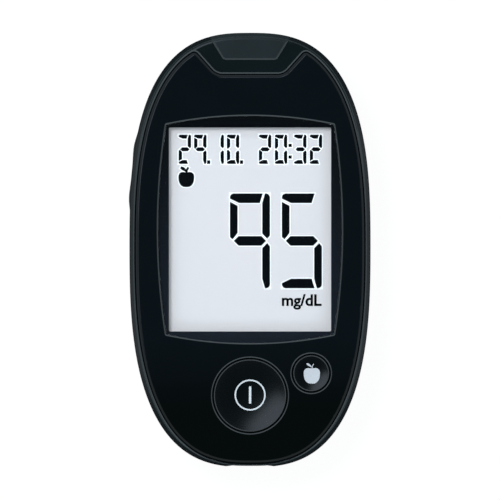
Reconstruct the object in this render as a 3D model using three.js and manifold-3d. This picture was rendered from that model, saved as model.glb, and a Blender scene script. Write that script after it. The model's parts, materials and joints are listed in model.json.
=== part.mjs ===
// Blood glucose meter, lying on its back.
// Millimetres. +Z points up out of the display, +Y towards the test-strip slot and +X to the right
// of the display. The origin lies on the rest surface, under the middle of the meter.

import * as THREE from 'three';
import { mergeVertices } from 'three/addons/utils/BufferGeometryUtils.js';
import Module from 'manifold-3d';

const wasm = await Module();
wasm.setup();

// Outline of the case, an egg-like superellipse that is widest a little above the middle
const meterLength = 98;
const meterWidth = 54.4;
const widestRowY = 0.9;
const outlinePower = 2.745;
const outlineSteps = 56;

// Clearances and the overrun of every cut
const gap = 0.3;
const filmGap = 0.1;
const overrun = 1;

// Walls of the two case halves
const wall = 1.6;
const backWall = 1.8;
const roundSteps = 4;

// Height, added up from the back: door, coin cell, bay roof, board, display stack, deck, panel
const doorRecess = 0.2;
const doorThickness = 1.1;
const doorPadHeight = 0.5;
const cellThickness = 3.2;
const contactThickness = 0.2;
const contactRoom = 0.9;
const bayRoofThickness = 0.8;
const underBoardRoom = 1;
const boardThickness = 1;
const overBoardRoom = 1;
const holderFloor = 0.9;
const lightGuideThickness = 1.5;
const polariserThickness = 0.2;
const glassPlateThickness = 0.7;
const gasketThickness = 0.6;
const deckThickness = 1.2;
const panelThickness = 1.8;

const doorTop = doorRecess + doorThickness;
const cellBottom = doorTop + doorPadHeight + gap;
const cellTop = cellBottom + cellThickness;
const bayRoofBottom = cellTop + contactRoom;
const bayRoofTop = bayRoofBottom + bayRoofThickness;
const boardBottom = bayRoofTop + underBoardRoom;
const boardTop = boardBottom + boardThickness;
const seamZ = boardTop;
const holderFloorBottom = boardTop + overBoardRoom;
const lightGuideBottom = holderFloorBottom + holderFloor + filmGap;
const rearPolariserBottom = lightGuideBottom + lightGuideThickness + filmGap;
const glassBottom = rearPolariserBottom + polariserThickness + filmGap;
const glassTop = glassBottom + 2 * glassPlateThickness;
const frontPolariserBottom = glassTop + filmGap;
const gasketBottom = frontPolariserBottom + polariserThickness + filmGap;
const deckBottom = gasketBottom + gasketThickness + filmGap;
const deckTop = deckBottom + deckThickness;
const panelBottom = deckTop + filmGap;
const meterHeight = panelBottom + panelThickness;

// Rear shell: its rounded back edge and the lip that locates the front half
const backRoundInset = 6;
const backRoundRise = 5.2;
const backRoundSteps = 4;
const lipHeight = 1;
const lipInset = (wall + gap) / 2;
const supportRibThickness = 1;
const supportRibPitch = 11;
const supportRibCount = 3;

// Upper housing: the rounded rim and the sunken shelf at the strip end
const shelfDrop = 0.4;
const rimRoundInset = 1.6;
const rimRoundRise = 1.1;
const rimRoundSteps = 4;
const rimWidth = 1.08;
const shelfZ = meterHeight - shelfDrop;

// Front panel: rounder than the case and a little lower on it, with two ears beside a valley
const panelPower = 2.63;
const panelDrop = 0.22;
const panelGap = 0.2;
const panelRound = 0.85;
const panelRoundSteps = 3;
const panelCrown = 0.2;
const panelOutlineSteps = 48;
const crownSteps = 8;
const earHalfWidth = 12.63;
const earRound = 1.8;
const valleyHalfWidth = 7.65;
const valleyDepth = 9.32;
const valleyRound = 3;

// Display: the visible area and the barrel-shaped window round it
const viewSideMargin = 8.9;
const viewTopMargin = 21.25;
const viewBottomMargin = 30.55;
const windowSideBorder = 0.9;
const windowEndBorder = 0.7;
const windowSideBulge = 1.85;
const windowEndBulge = 2;
const windowGap = 0.15;
const windowDrop = 0.25;
const windowEdge = 0.15;
const windowSteps = 8;
const maskThickness = 0.2;
const deckViewMargin = 0.5;
const glassBorder = 1.6;
const glassLedge = 2.7;
const zebraThickness = 1.6;
const zebraEndMargin = 2.5;
const holderWall = 0.6;
const holderCorner = 1.5;
const ledWidth = 3;
const ledDepth = 0.6;
const ledSpacing = 16;

const viewHalfWidth = meterWidth / 2 - viewSideMargin;
const viewTop = meterLength / 2 - viewTopMargin;
const viewBottom = viewBottomMargin - meterLength / 2;
const viewMiddle = (viewTop + viewBottom) / 2;
const viewHalfHeight = (viewTop - viewBottom) / 2;
const windowHalfWidth = viewHalfWidth + windowSideBorder;
const windowHalfHeight = viewHalfHeight + windowEndBorder;
const windowLowestY = viewMiddle - windowHalfHeight - windowEndBulge;
const glassHalfWidth = viewHalfWidth + glassBorder;
const glassTopY = viewTop + glassBorder;
const glassBottomY = viewBottom - glassBorder;

// Buttons: a dished cap on a stem, held under the deck by a flange
const powerCapRadius = 8.12;
const mealCapRadius = 4.02;
const buttonGap = 0.45;
const holeChamfer = 0.2;
const flangeLap = 0.5;
const flangeThickness = 0.8;
const flangeBridge = 0.65;
const mealButtonTurn = THREE.MathUtils.degToRad(20);
const buttonTravel = 0.4;
const buttonDrop = 0.3;
const buttonEdge = 0.3;
const buttonWall = 1.2;
const dishDepthShare = 0.11;
const powerWindowSpace = 2.6;
const stemRadius = 1.5;
const stemSpare = 0.15;
const wellWall = 0.7;
const wellDepth = 2.5;
const powerDomeRadius = 4;
const mealDomeRadius = 2.6;
const domeHeight = 0.9;
const domeThickness = 0.2;
const buttonSteps = 36;
const smallRoundSteps = 20;

const powerHoleRadius = powerCapRadius + buttonGap;
const mealHoleRadius = mealCapRadius + buttonGap;
const powerFlangeRadius = powerHoleRadius + flangeLap;
const mealFlangeRadius = mealHoleRadius + flangeLap;
const powerY = windowLowestY - powerWindowSpace - powerFlangeRadius;
const buttonSpacing = powerFlangeRadius + mealFlangeRadius + flangeBridge;
const mealX = buttonSpacing * Math.cos(mealButtonTurn);
const mealY = powerY + buttonSpacing * Math.sin(mealButtonTurn);

// Side rocker: a two-bump key in the left wall that tips about an upright pin
const rockerFromEnd = 31.3;
const rockerLength = 19.2;
const rockerHeight = 3.6;
const rockerProud = 0.305;
const rockerDip = 0.09;
const rockerBumpShare = 0.6;
const rockerSteps = 14;
const rockerBehindWall = 0.4;
const rockerFlangeLength = 8;
const rockerFlangeThickness = 0.8;
const rockerFlangeLap = 0.4;
const rockerPinInset = 4;
const rockerPinRadius = 0.8;
const rockerPinPlay = 0.2;
const rockerPinSeat = 0.6;
const rockerWebWidth = 2.4;
const scrollSwitchSpacing = 13;
const scrollSwitchWidth = 3.6;
const scrollSwitchDepth = 1.3;
const scrollPlungerReach = 0.4;
const scrollPlungerWidth = 1.4;
const scrollPlungerPlay = 0.4;

const rockerMiddleY = meterLength / 2 - rockerFromEnd;
const rockerMiddleZ = (boardTop + deckBottom) / 2;

// Test-strip port: the grey wedge in the end wall, the slot through it and the connector behind
const insertDepth = 6.04;
const insertBaseHalfWidth = 5.9;
const insertMouthHalfWidth = 9.7;
const insertCorner = 1;
const insertGap = 0.15;
const insertProud = 0.15;
const slotWidth = 8.2;
const slotHeight = 1.3;
const slotRise = 2;
const slotMouthDepth = 1.6;
const slotMouthFlare = 0.9;
const insertPocketWall = 1.5;
const connectorWidth = 11.6;
const connectorLength = 7.6;
const connectorHeight = 4;
const connectorBack = 1.5;
const connectorFront = 0.8;
const connectorEndGap = 0.4;
const stripContactCount = 4;
const stripContactPitch = 1.7;
const stripContactWidth = 0.8;
const stripContactGroove = 1.3;
const stripContactTail = 0.8;
const stripContactLift = 1.5;
const stripContactDip = 0.6;

const insertBaseY = meterLength / 2 - insertDepth;
const slotZ = boardTop + slotRise;
const connectorFrontY = insertBaseY - connectorEndGap;
const connectorBackY = connectorFrontY - connectorLength;

// Bottom end: the cable notch in the wall and the data socket behind it
const notchHalfWidth = 3.95;
const notchBlend = 1.45;
const notchDepth = 0.42;
const socketWidth = 7.4;
const socketHeight = 2.7;
const socketLength = 5.2;
const socketWall = 0.3;
const socketCorner = 0.7;
const socketCornerSteps = 2;
const socketRecess = 0.35;
const socketTongueWidth = 4.6;
const socketTongueThickness = 0.6;
const socketBack = 1;
const socketBottom = boardTop + filmGap;

// Battery bay: two coin cells in a row under one hinged door
const cellRadius = 10;
const cellSpacing = 21.2;
const cellRimDrop = 0.4;
const cellCapInset = 1.2;
const bayMiddleY = -11.5;
const baySlack = 0.6;
const bayWall = 2;
const doorLedge = 1.2;
const doorCorner = 1.5;
const doorPadWidth = 1.2;
const doorPadSpacing = 8;
const doorGrooveCount = 4;
const doorGroovePitch = 1.6;
const doorGrooveWidth = 0.8;
const doorGrooveLength = 10;
const doorGrooveDepth = 0.3;
const doorGrooveFromEnd = 4;
const tongueWidth = 4;
const tongueSpacing = 12;
const tongueReach = 1.9;
const tongueThickness = 0.8;
const tongueLeg = 1.3;
const latchWidth = 6;
const latchThickness = 0.8;
const latchHeight = 1.6;
const latchBead = 0.2;
const nailScoopRadius = 4;
const nailScoopDepth = 0.8;
const cellContactWidth = 3;
const cellContactSlack = 0.6;
const sideContactTab = 2;
const cellLinkX = 6.5;

const bayHalfWidth = cellRadius + baySlack;
const bayHalfLength = cellSpacing / 2 + cellRadius + baySlack;
const doorOpeningHalfWidth = bayHalfWidth + doorLedge;
const doorOpeningHalfLength = bayHalfLength + doorLedge;
const doorHingeY = bayMiddleY + doorOpeningHalfLength;
const bayOuterHalfWidth = bayHalfWidth + bayWall;
const bayOuterHalfLength = bayHalfLength + bayWall;
const upperCellY = bayMiddleY + cellSpacing / 2;
const lowerCellY = bayMiddleY - cellSpacing / 2;

// Four case screws, from the back into bosses under the deck
const screwHalfSpacing = 15;
const upperScrewFromEnd = 12;
const lowerScrewFromEnd = 12;
const screwHeadRadius = 2.2;
const screwHeadHeight = 1.4;
const screwShankRadius = 1;
const screwGrip = 3.4;
const screwPlay = 0.15;
const screwRecessPlay = 0.35;
const screwShelf = 1.5;
const screwCrossWidth = 0.6;
const screwCrossDepth = 0.8;
const postWall = 1.1;
const bossWall = 1.4;
const screwSteps = 14;

const screwPlaces = [
  { name: 'case_screw_1', x: -screwHalfSpacing, y: meterLength / 2 - upperScrewFromEnd },
  { name: 'case_screw_2', x: screwHalfSpacing, y: meterLength / 2 - upperScrewFromEnd },
  { name: 'case_screw_3', x: -screwHalfSpacing, y: lowerScrewFromEnd - meterLength / 2 },
  { name: 'case_screw_4', x: screwHalfSpacing, y: lowerScrewFromEnd - meterLength / 2 },
];
const screwShelfTop = boardBottom - gap;
const screwHeadTop = screwShelfTop - screwShelf - filmGap;
const bossRadius = screwShankRadius + screwPlay + bossWall;
const postRadius = screwHeadRadius + screwRecessPlay + postWall;

// Parts on the board
const boardInset = wall + 1;
const chipSize = 7;
const chipHeight = 0.75;
const memoryWidth = 5;
const memoryLength = 4;
const crystalWidth = 3.2;
const crystalLength = 1.5;
const chipSpacing = 9;
const buzzerRadius = 4;
const buzzerHeight = 2.2;
const buzzerX = -14.5;
const buzzerHoleRadius = 0.8;

// Solids from three.js shapes

// A closed geometry as a solid that can be joined and cut
function solid(geometry) {
  const bare = geometry.clone();
  bare.deleteAttribute('normal');
  bare.deleteAttribute('uv');
  const merged = mergeVertices(bare);
  const corners = merged.index.array;
  const triangles = [];
  for (let i = 0; i < corners.length; i += 3) {
    const [a, b, c] = corners.slice(i, i + 3);
    if (a !== b && b !== c && c !== a) {
      triangles.push(a, b, c);
    }
  }
  return new wasm.Manifold(new wasm.Mesh({
    numProp: 3,
    vertProperties: merged.attributes.position.array,
    triVerts: new Uint32Array(triangles),
  }));
}

function join(first, ...others) {
  return others.reduce((body, other) => body.add(other), first);
}

function cut(first, ...others) {
  return others.reduce((body, other) => body.subtract(other), first);
}

// A straight box between two corners
function box(lowX, highX, lowY, highY, lowZ, highZ) {
  const geometry = new THREE.BoxGeometry(highX - lowX, highY - lowY, highZ - lowZ);
  return solid(geometry.translate((lowX + highX) / 2, (lowY + highY) / 2, (lowZ + highZ) / 2));
}

function disc(radius, low, high, x = 0, y = 0, steps = buttonSteps) {
  const geometry = new THREE.CylinderGeometry(radius, radius, high - low, steps);
  return solid(geometry.rotateX(Math.PI / 2).translate(x, y, (low + high) / 2));
}

// A profile of [radius, height] pairs, up the outside from axis to axis, turned about Z
function turned(profile, x = 0, y = 0, steps = buttonSteps) {
  const points = profile.map(([radius, z]) => new THREE.Vector2(radius, z));
  return solid(new THREE.LatheGeometry(points, steps).rotateX(Math.PI / 2).translate(x, y, 0));
}

// A flat shape between two heights
function slab(shape, low, high, curveSegments = roundSteps) {
  const geometry = new THREE.ExtrudeGeometry(shape, {
    depth: high - low,
    bevelEnabled: false,
    curveSegments,
  });
  return solid(geometry.translate(0, 0, low));
}

// A shape of [y, z] points, given its width along X
function sideSlab(shape, lowX, highX) {
  const geometry = new THREE.ExtrudeGeometry(shape, { depth: highX - lowX, bevelEnabled: false });
  return solid(geometry.rotateX(Math.PI / 2).rotateZ(Math.PI / 2).translate(lowX, 0, 0));
}

// A shape of [x, z] points, given its length along Y
function endSlab(shape, lowY, highY, curveSegments = roundSteps) {
  const geometry = new THREE.ExtrudeGeometry(shape, {
    depth: highY - lowY,
    bevelEnabled: false,
    curveSegments,
  });
  return solid(geometry.rotateX(Math.PI / 2).translate(0, highY, 0));
}

// A shape through corners [x, y, radius], each rounded by its own radius
function roundedShape(corners) {
  const shape = new THREE.Shape();
  corners.forEach(([x, y, radius = 0], i) => {
    const corner = new THREE.Vector2(x, y);
    const [beforeX, beforeY] = corners[(i + corners.length - 1) % corners.length];
    const [afterX, afterY] = corners[(i + 1) % corners.length];
    const back = new THREE.Vector2(beforeX - x, beforeY - y).normalize();
    const ahead = new THREE.Vector2(afterX - x, afterY - y).normalize();
    const halfAngle = Math.acos(THREE.MathUtils.clamp(back.dot(ahead), -1, 1)) / 2;
    const setback = radius / Math.tan(halfAngle);
    const start = corner.clone().addScaledVector(back, setback);
    const end = corner.clone().addScaledVector(ahead, setback);
    if (i === 0) {
      shape.moveTo(start.x, start.y);
    } else {
      shape.lineTo(start.x, start.y);
    }
    if (radius > 0) {
      shape.quadraticCurveTo(x, y, end.x, end.y);
    }
  });
  return shape;
}

function roundedRectangle(lowX, highX, lowY, highY, radius = 0) {
  return roundedShape([
    [lowX, lowY, radius],
    [highX, lowY, radius],
    [highX, highY, radius],
    [lowX, highY, radius],
  ]);
}

// Closed points, anticlockwise, moved outwards along their mean normals
function grown(points, distance) {
  return points.map((point, i) => {
    const before = points[(i + points.length - 1) % points.length];
    const after = points[(i + 1) % points.length];
    const into = point.clone().sub(before).normalize();
    const away = after.clone().sub(point).normalize();
    const mean = new THREE.Vector2(into.y + away.y, -into.x - away.x).normalize();
    const stretch = mean.dot(new THREE.Vector2(into.y, -into.x));
    return point.clone().addScaledVector(mean, distance / stretch);
  });
}

// A bent metal strip: an open line of [a, b] points given a thickness
function ribbon(line, thickness) {
  const points = line.map(([a, b]) => new THREE.Vector2(a, b));
  const sides = points.map((point, i) => {
    const before = points[Math.max(i - 1, 0)];
    const after = points[Math.min(i + 1, points.length - 1)];
    const into = (i === 0 ? after.clone().sub(point) : point.clone().sub(before)).normalize();
    const away = (i === points.length - 1 ? into.clone() : after.clone().sub(point)).normalize();
    const mean = new THREE.Vector2(-into.y - away.y, into.x + away.x).normalize();
    const stretch = mean.dot(new THREE.Vector2(-into.y, into.x));
    const reach = thickness / 2 / stretch;
    return [point.clone().addScaledVector(mean, reach), point.clone().addScaledVector(mean, -reach)];
  });
  return new THREE.Shape([...sides.map(([left]) => left), ...sides.reverse().map(([, right]) => right)]);
}

// Outline of the case

function outlineReach(side, inset) {
  return meterLength / 2 - Math.sign(side) * widestRowY - inset;
}

function outlinePoint(angle, inset, power = outlinePower) {
  const across = Math.cos(angle);
  const along = Math.sin(angle);
  const share = 2 / power;
  return new THREE.Vector2(
    (meterWidth / 2 - inset) * Math.sign(across) * Math.abs(across) ** share,
    widestRowY + outlineReach(along, inset) * Math.sign(along) * Math.abs(along) ** share,
  );
}

// Half the width of the outline in the row y
function halfWidthAt(y, inset) {
  const share = Math.abs(y - widestRowY) / outlineReach(y - widestRowY, inset);
  return (meterWidth / 2 - inset) * (1 - share ** outlinePower) ** (1 / outlinePower);
}

// Height of the bottom end of the outline in the column x
function bottomEndAt(x, inset) {
  const share = Math.abs(x) / (meterWidth / 2 - inset);
  return widestRowY - outlineReach(-1, inset) * (1 - share ** outlinePower) ** (1 / outlinePower);
}

// A body whose plan is the outline: a turned profile of [inset, height] pairs, then drawn out
function outlineBody(profile) {
  const halfWidth = meterWidth / 2;
  const last = profile.length - 1;
  const points = [
    new THREE.Vector2(0, profile[0][1]),
    ...profile.map(([inset, z]) => new THREE.Vector2(halfWidth - inset, z)),
    new THREE.Vector2(0, profile[last][1]),
  ];
  const geometry = new THREE.LatheGeometry(points, outlineSteps).rotateX(Math.PI / 2);
  const position = geometry.attributes.position;
  for (let i = 0; i < position.count; i += 1) {
    const row = i % points.length;
    if (row === 0 || row === points.length - 1) {
      position.setXY(i, 0, widestRowY);
    } else {
      const angle = Math.atan2(position.getY(i), position.getX(i));
      const place = outlinePoint(angle, halfWidth - points[row].x);
      position.setXY(i, place.x, place.y);
    }
  }
  return solid(geometry);
}

// Quarter of an ellipse as [inset, height] pairs, from the flat back up into the side
function backRound(offset, floor) {
  const inset = backRoundInset - offset;
  const rise = backRoundRise - floor;
  const pairs = [];
  for (let step = 0; step <= backRoundSteps; step += 1) {
    const angle = (step / backRoundSteps) * (Math.PI / 2);
    pairs.push([offset + inset * (1 - Math.sin(angle)), floor + rise * (1 - Math.cos(angle))]);
  }
  return pairs;
}

// The same from the side over onto the shelf
function rimRound(lift) {
  const pairs = [];
  for (let step = 0; step <= rimRoundSteps; step += 1) {
    const angle = (step / rimRoundSteps) * (Math.PI / 2);
    const drop = rimRoundRise * (1 - Math.sin(angle));
    pairs.push([rimRoundInset * (1 - Math.cos(angle)), shelfZ + lift - drop]);
  }
  return pairs;
}

// Plans shared by neighbours

// Edge of the front panel: the outline inside the rim, with the valley between two ears
function panelPoints() {
  const inset = rimWidth + panelGap;
  const earAngle = Math.acos((earHalfWidth / (meterWidth / 2 - inset)) ** (panelPower / 2));
  const edgeAt = (angle) => {
    const point = outlinePoint(angle, inset, panelPower);
    return [point.x, point.y - panelDrop];
  };
  const [earX, earY] = edgeAt(earAngle);
  const valleyY = meterLength / 2 - valleyDepth;
  const corners = [];
  for (let step = 1; step < panelOutlineSteps; step += 1) {
    const turn = (step / panelOutlineSteps) * (Math.PI + 2 * earAngle);
    corners.push(edgeAt(Math.PI - earAngle + turn));
  }
  corners.push([earX, earY, earRound]);
  corners.push([valleyHalfWidth, valleyY, valleyRound]);
  corners.push([-valleyHalfWidth, valleyY, valleyRound]);
  corners.push([-earX, earY, earRound]);
  return roundedShape(corners).getPoints(roundSteps);
}

// The barrel-shaped window: four bowed sides between its corners. The last point repeats the first.
function windowPoints() {
  const low = viewMiddle - windowHalfHeight;
  const high = viewMiddle + windowHalfHeight;
  const shape = new THREE.Shape();
  shape.moveTo(-windowHalfWidth, low);
  shape.quadraticCurveTo(0, low - 2 * windowEndBulge, windowHalfWidth, low);
  shape.quadraticCurveTo(windowHalfWidth + 2 * windowSideBulge, viewMiddle, windowHalfWidth, high);
  shape.quadraticCurveTo(0, high + 2 * windowEndBulge, -windowHalfWidth, high);
  shape.quadraticCurveTo(-windowHalfWidth - 2 * windowSideBulge, viewMiddle, -windowHalfWidth, low);
  const points = shape.getPoints(windowSteps);
  points.pop();
  return points;
}

// The visible area of the display, with a margin all round
function viewArea(margin, radius = 0) {
  return roundedRectangle(
    -viewHalfWidth - margin,
    viewHalfWidth + margin,
    viewBottom - margin,
    viewTop + margin,
    radius,
  );
}

// The wedge of the strip port, open past the end of the case
function insertPoints() {
  const end = meterLength / 2;
  return roundedShape([
    [-insertBaseHalfWidth, insertBaseY, insertCorner],
    [insertBaseHalfWidth, insertBaseY, insertCorner],
    [insertMouthHalfWidth, end],
    [insertMouthHalfWidth, end + overrun],
    [-insertMouthHalfWidth, end + overrun],
    [-insertMouthHalfWidth, end],
  ]).getPoints(roundSteps);
}

// What the notch takes from the wall at the bottom end
function notchCutter() {
  const floor = bottomEndAt(notchHalfWidth, notchDepth);
  const brink = bottomEndAt(notchHalfWidth + notchBlend, 0);
  const slope = notchBlend / (floor - brink);
  const lowY = -meterLength / 2 - overrun;
  const lowHalfWidth = notchHalfWidth + slope * (floor - lowY);
  const wedge = slab(roundedShape([
    [-lowHalfWidth, lowY],
    [lowHalfWidth, lowY],
    [notchHalfWidth, floor],
    [notchHalfWidth, floor + overrun],
    [-notchHalfWidth, floor + overrun],
    [-notchHalfWidth, floor],
  ]), -overrun, meterHeight + overrun);
  const core = outlineBody([[notchDepth, -2 * overrun], [notchDepth, meterHeight + 2 * overrun]]);
  return cut(wedge, core);
}

// The opening in the wall round the data socket
function socketOpening() {
  const halfWidth = socketWidth / 2 + gap;
  const low = socketBottom - gap;
  const high = socketBottom + socketHeight + gap;
  const plan = roundedRectangle(-halfWidth, halfWidth, low, high, socketCorner + gap);
  return endSlab(plan, -meterLength / 2 - overrun, socketLength - meterLength / 2, socketCornerSteps);
}

// Case

function makeRearShell() {
  const outside = outlineBody([
    ...backRound(0, 0),
    [0, seamZ],
    [lipInset, seamZ],
    [lipInset, seamZ + lipHeight],
  ]);
  const inside = outlineBody([...backRound(wall, backWall), [wall, seamZ + lipHeight + overrun]]);
  const bay = box(
    -bayOuterHalfWidth,
    bayOuterHalfWidth,
    bayMiddleY - bayOuterHalfLength,
    bayMiddleY + bayOuterHalfLength,
    doorTop,
    bayRoofTop,
  );
  const posts = screwPlaces.map(({ x, y }) => (
    disc(postRadius, doorTop, screwShelfTop, x, y, smallRoundSteps)
  ));
  const ribs = [];
  for (let i = 1; i <= supportRibCount; i += 1) {
    const y = bayMiddleY + bayOuterHalfLength + i * supportRibPitch - supportRibPitch / 2;
    const halfWidth = meterWidth / 2;
    const back = y - supportRibThickness / 2;
    ribs.push(box(-halfWidth, halfWidth, back, back + supportRibThickness, doorTop, boardBottom - gap));
  }
  const furniture = join(bay, ...posts, ...ribs).intersect(outside);
  return cut(
    join(cut(outside, inside), furniture),
    ...bayCuts(),
    ...screwPlaces.flatMap(({ x, y }) => postCuts(x, y)),
    slab(new THREE.Shape(grown(insertPoints(), insertGap)), seamZ, seamZ + lipHeight + overrun),
    socketOpening(),
    notchCutter(),
  );
}

// What the battery bay takes from the rear shell
function bayCuts() {
  const cavity = box(
    -bayHalfWidth,
    bayHalfWidth,
    bayMiddleY - bayHalfLength,
    bayMiddleY + bayHalfLength,
    -overrun,
    bayRoofBottom,
  );
  const opening = slab(roundedRectangle(
    -doorOpeningHalfWidth,
    doorOpeningHalfWidth,
    bayMiddleY - doorOpeningHalfLength,
    doorHingeY,
    doorCorner,
  ), -overrun, doorTop + gap);
  const scoop = disc(nailScoopRadius, -overrun, nailScoopDepth, 0, bayMiddleY - doorOpeningHalfLength);
  const latchPocket = box(
    -latchWidth / 2 - gap,
    latchWidth / 2 + gap,
    bayMiddleY - doorOpeningHalfLength,
    bayMiddleY - bayHalfLength + overrun,
    0,
    doorTop + latchHeight + gap,
  );
  const tonguePockets = [-1, 1].map((side) => {
    const left = (side * tongueSpacing) / 2 - tongueWidth / 2 - gap;
    const right = left + tongueWidth + 2 * gap;
    const high = bayRoofBottom - bayRoofThickness;
    return join(
      box(left, right, doorHingeY - tongueLeg - 2 * gap, doorHingeY, doorTop, high),
      box(left, right, doorHingeY - gap, bayMiddleY + bayOuterHalfLength + overrun, backWall, high),
    );
  });
  const contactSlots = contactTails().map(({ x, y, halfX, halfY }) => (
    box(x - halfX, x + halfX, y - halfY, y + halfY, bayRoofBottom - overrun, bayRoofTop + overrun)
  ));
  return [cavity, opening, scoop, latchPocket, ...tonguePockets, ...contactSlots];
}

// Where the cell contacts pass up through the bay roof, and half the size of each slot
function contactTails() {
  const across = cellContactWidth / 2 + gap;
  const along = contactThickness / 2 + gap;
  return [
    { x: 0, y: lowerCellY - cellRadius / 2, halfX: across, halfY: along },
    { x: bayHalfWidth - sideContactTab - contactThickness, y: upperCellY, halfX: along, halfY: across },
  ];
}

// The recess for a screw head and the hole for its shank, up through a post
function postCuts(x, y) {
  const recessRadius = screwHeadRadius + screwRecessPlay;
  const shankRadius = screwShankRadius + 2 * screwPlay;
  return [
    disc(recessRadius, -overrun, screwShelfTop - screwShelf, x, y, screwSteps),
    disc(shankRadius, 0, screwShelfTop + overrun, x, y, screwSteps),
  ];
}

function makeUpperHousing() {
  const outside = outlineBody([[0, seamZ + gap], ...rimRound(0)]);
  const inside = outlineBody([
    [lipInset - gap, seamZ - overrun],
    [lipInset - gap, seamZ + lipHeight + gap],
    [wall, seamZ + lipHeight + gap],
    [wall, deckBottom],
  ]);
  const pocket = slab(new THREE.Shape(grown(panelPoints(), panelGap)), deckTop, meterHeight + overrun);
  const shell = cut(outside, inside, pocket);
  const bosses = screwPlaces.map(({ x, y }) => (
    disc(bossRadius, boardTop + gap, deckTop, x, y, screwSteps)
  ));
  const pilots = screwPlaces.map(({ x, y }) => (
    disc(screwShankRadius + screwPlay, 0, boardTop + gap + screwGrip + overrun, x, y, screwSteps)
  ));
  const wells = buttonWells();
  const deckView = slab(viewArea(deckViewMargin), deckBottom - overrun, deckTop + overrun);
  return cut(
    join(shell, ...wells.walls, ...bosses),
    ...wells.rooms,
    ...wells.holes,
    ...pilots,
    deckView,
    ...rockerCuts(),
    slab(new THREE.Shape(grown(insertPoints(), insertGap)), 0, meterHeight),
    socketOpening(),
    notchCutter(),
    disc(buzzerHoleRadius, deckBottom - overrun, meterHeight, buzzerX, mealY, screwSteps),
  );
}

// Guide walls under the deck round the two button flanges, and the holes for the caps
function buttonWells() {
  const buttons = [
    { x: 0, y: powerY, hole: powerHoleRadius, flange: powerFlangeRadius },
    { x: mealX, y: mealY, hole: mealHoleRadius, flange: mealFlangeRadius },
  ];
  const low = deckBottom - wellDepth;
  return {
    walls: buttons.map(({ x, y, flange }) => disc(flange + gap + wellWall, low, deckTop, x, y)),
    rooms: buttons.map(({ x, y, flange }) => disc(flange + gap, low - overrun, deckBottom, x, y)),
    holes: buttons.map(({ x, y, hole }) => disc(hole, low, meterHeight + overrun, x, y)),
  };
}

function makeFrontPanel() {
  const blank = new THREE.ExtrudeGeometry(new THREE.Shape(grown(panelPoints(), -panelRound)), {
    depth: panelThickness,
    bevelThickness: panelRound,
    bevelSize: panelRound,
    bevelSegments: panelRoundSteps,
  });
  const plate = solid(blank.translate(0, 0, panelBottom - panelRound));
  return cut(
    plate.intersect(crownBlank()),
    slab(new THREE.Shape(windowPoints()), 0, meterHeight + overrun),
    chamferedHole(powerHoleRadius, 0, powerY),
    chamferedHole(mealHoleRadius, mealX, mealY),
  );
}

// The slight crown across the panel: a bowed top over a flat underside
function crownBlank() {
  const halfWidth = meterWidth / 2;
  const shape = new THREE.Shape();
  shape.moveTo(-halfWidth, panelBottom);
  shape.lineTo(halfWidth, panelBottom);
  shape.lineTo(halfWidth, meterHeight - panelCrown);
  shape.quadraticCurveTo(0, meterHeight + panelCrown, -halfWidth, meterHeight - panelCrown);
  return endSlab(shape, -meterLength / 2, meterLength / 2, crownSteps);
}

// A button hole through the panel, with a chamfer at the top
function chamferedHole(radius, x, y) {
  const top = meterHeight - panelCrown * (x / (meterWidth / 2)) ** 2;
  return turned([
    [0, panelBottom - overrun],
    [radius, panelBottom - overrun],
    [radius, top - holeChamfer],
    [radius + holeChamfer, top],
    [radius + holeChamfer, meterHeight + overrun],
    [0, meterHeight + overrun],
  ], x, y);
}

// Display

function makeDisplayWindow() {
  const edge = grown(windowPoints(), -windowGap - windowEdge);
  const low = panelBottom + maskThickness + filmGap;
  const blank = new THREE.ExtrudeGeometry(new THREE.Shape(edge), {
    depth: meterHeight - windowDrop - low - windowEdge,
    bevelThickness: windowEdge,
    bevelSize: windowEdge,
    bevelSegments: 1,
  });
  const lens = solid(blank.translate(0, 0, low));
  const foot = box(-meterWidth, meterWidth, -meterLength, meterLength, 0, low);
  return cut(lens, foot);
}

function makeWindowMask() {
  const shape = new THREE.Shape(grown(windowPoints(), -windowGap));
  const frame = slab(shape, panelBottom, panelBottom + maskThickness);
  return cut(frame, slab(viewArea(0), 0, meterHeight));
}

function makeGasket() {
  const frame = slab(viewArea(glassBorder), gasketBottom, gasketBottom + gasketThickness);
  return cut(frame, slab(viewArea(deckViewMargin), 0, meterHeight));
}

function makePolariser(low) {
  return slab(viewArea(glassBorder / 2), low, low + polariserThickness);
}

// Two plates, of which the upper one reaches further and carries the contacts on its ledge
function makeGlass() {
  const middle = glassBottom + glassPlateThickness;
  const lower = box(-glassHalfWidth, glassHalfWidth, glassBottomY, glassTopY, glassBottom, middle);
  const reach = glassTopY + glassLedge;
  return join(lower, box(-glassHalfWidth, glassHalfWidth, glassBottomY, reach, middle, glassTop));
}

function makeLightGuide() {
  const low = lightGuideBottom;
  return slab(viewArea(glassBorder, gap), low, low + lightGuideThickness);
}

// The white tray that carries guide and glass, standing on the board by its walls
function makeHolder() {
  const lowY = glassBottomY - gap;
  const highY = glassTopY + glassLedge + gap;
  const halfWidth = glassHalfWidth + gap;
  const outer = slab(roundedRectangle(
    -halfWidth - holderWall,
    halfWidth + holderWall,
    lowY - holderWall,
    highY + holderWall,
    holderCorner,
  ), boardTop + gap, glassTop);
  const tray = box(-halfWidth, halfWidth, lowY, highY, lightGuideBottom - filmGap, meterHeight);
  const under = box(-halfWidth, halfWidth, lowY, highY, 0, holderFloorBottom);
  const endSlot = box(-halfWidth, halfWidth, glassTopY + filmGap, highY, 0, meterHeight);
  const fit = outlineBody([[wall + gap, 0], [wall + gap, meterHeight]]);
  return cut(outer, tray, under, endSlot).intersect(fit);
}

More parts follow.
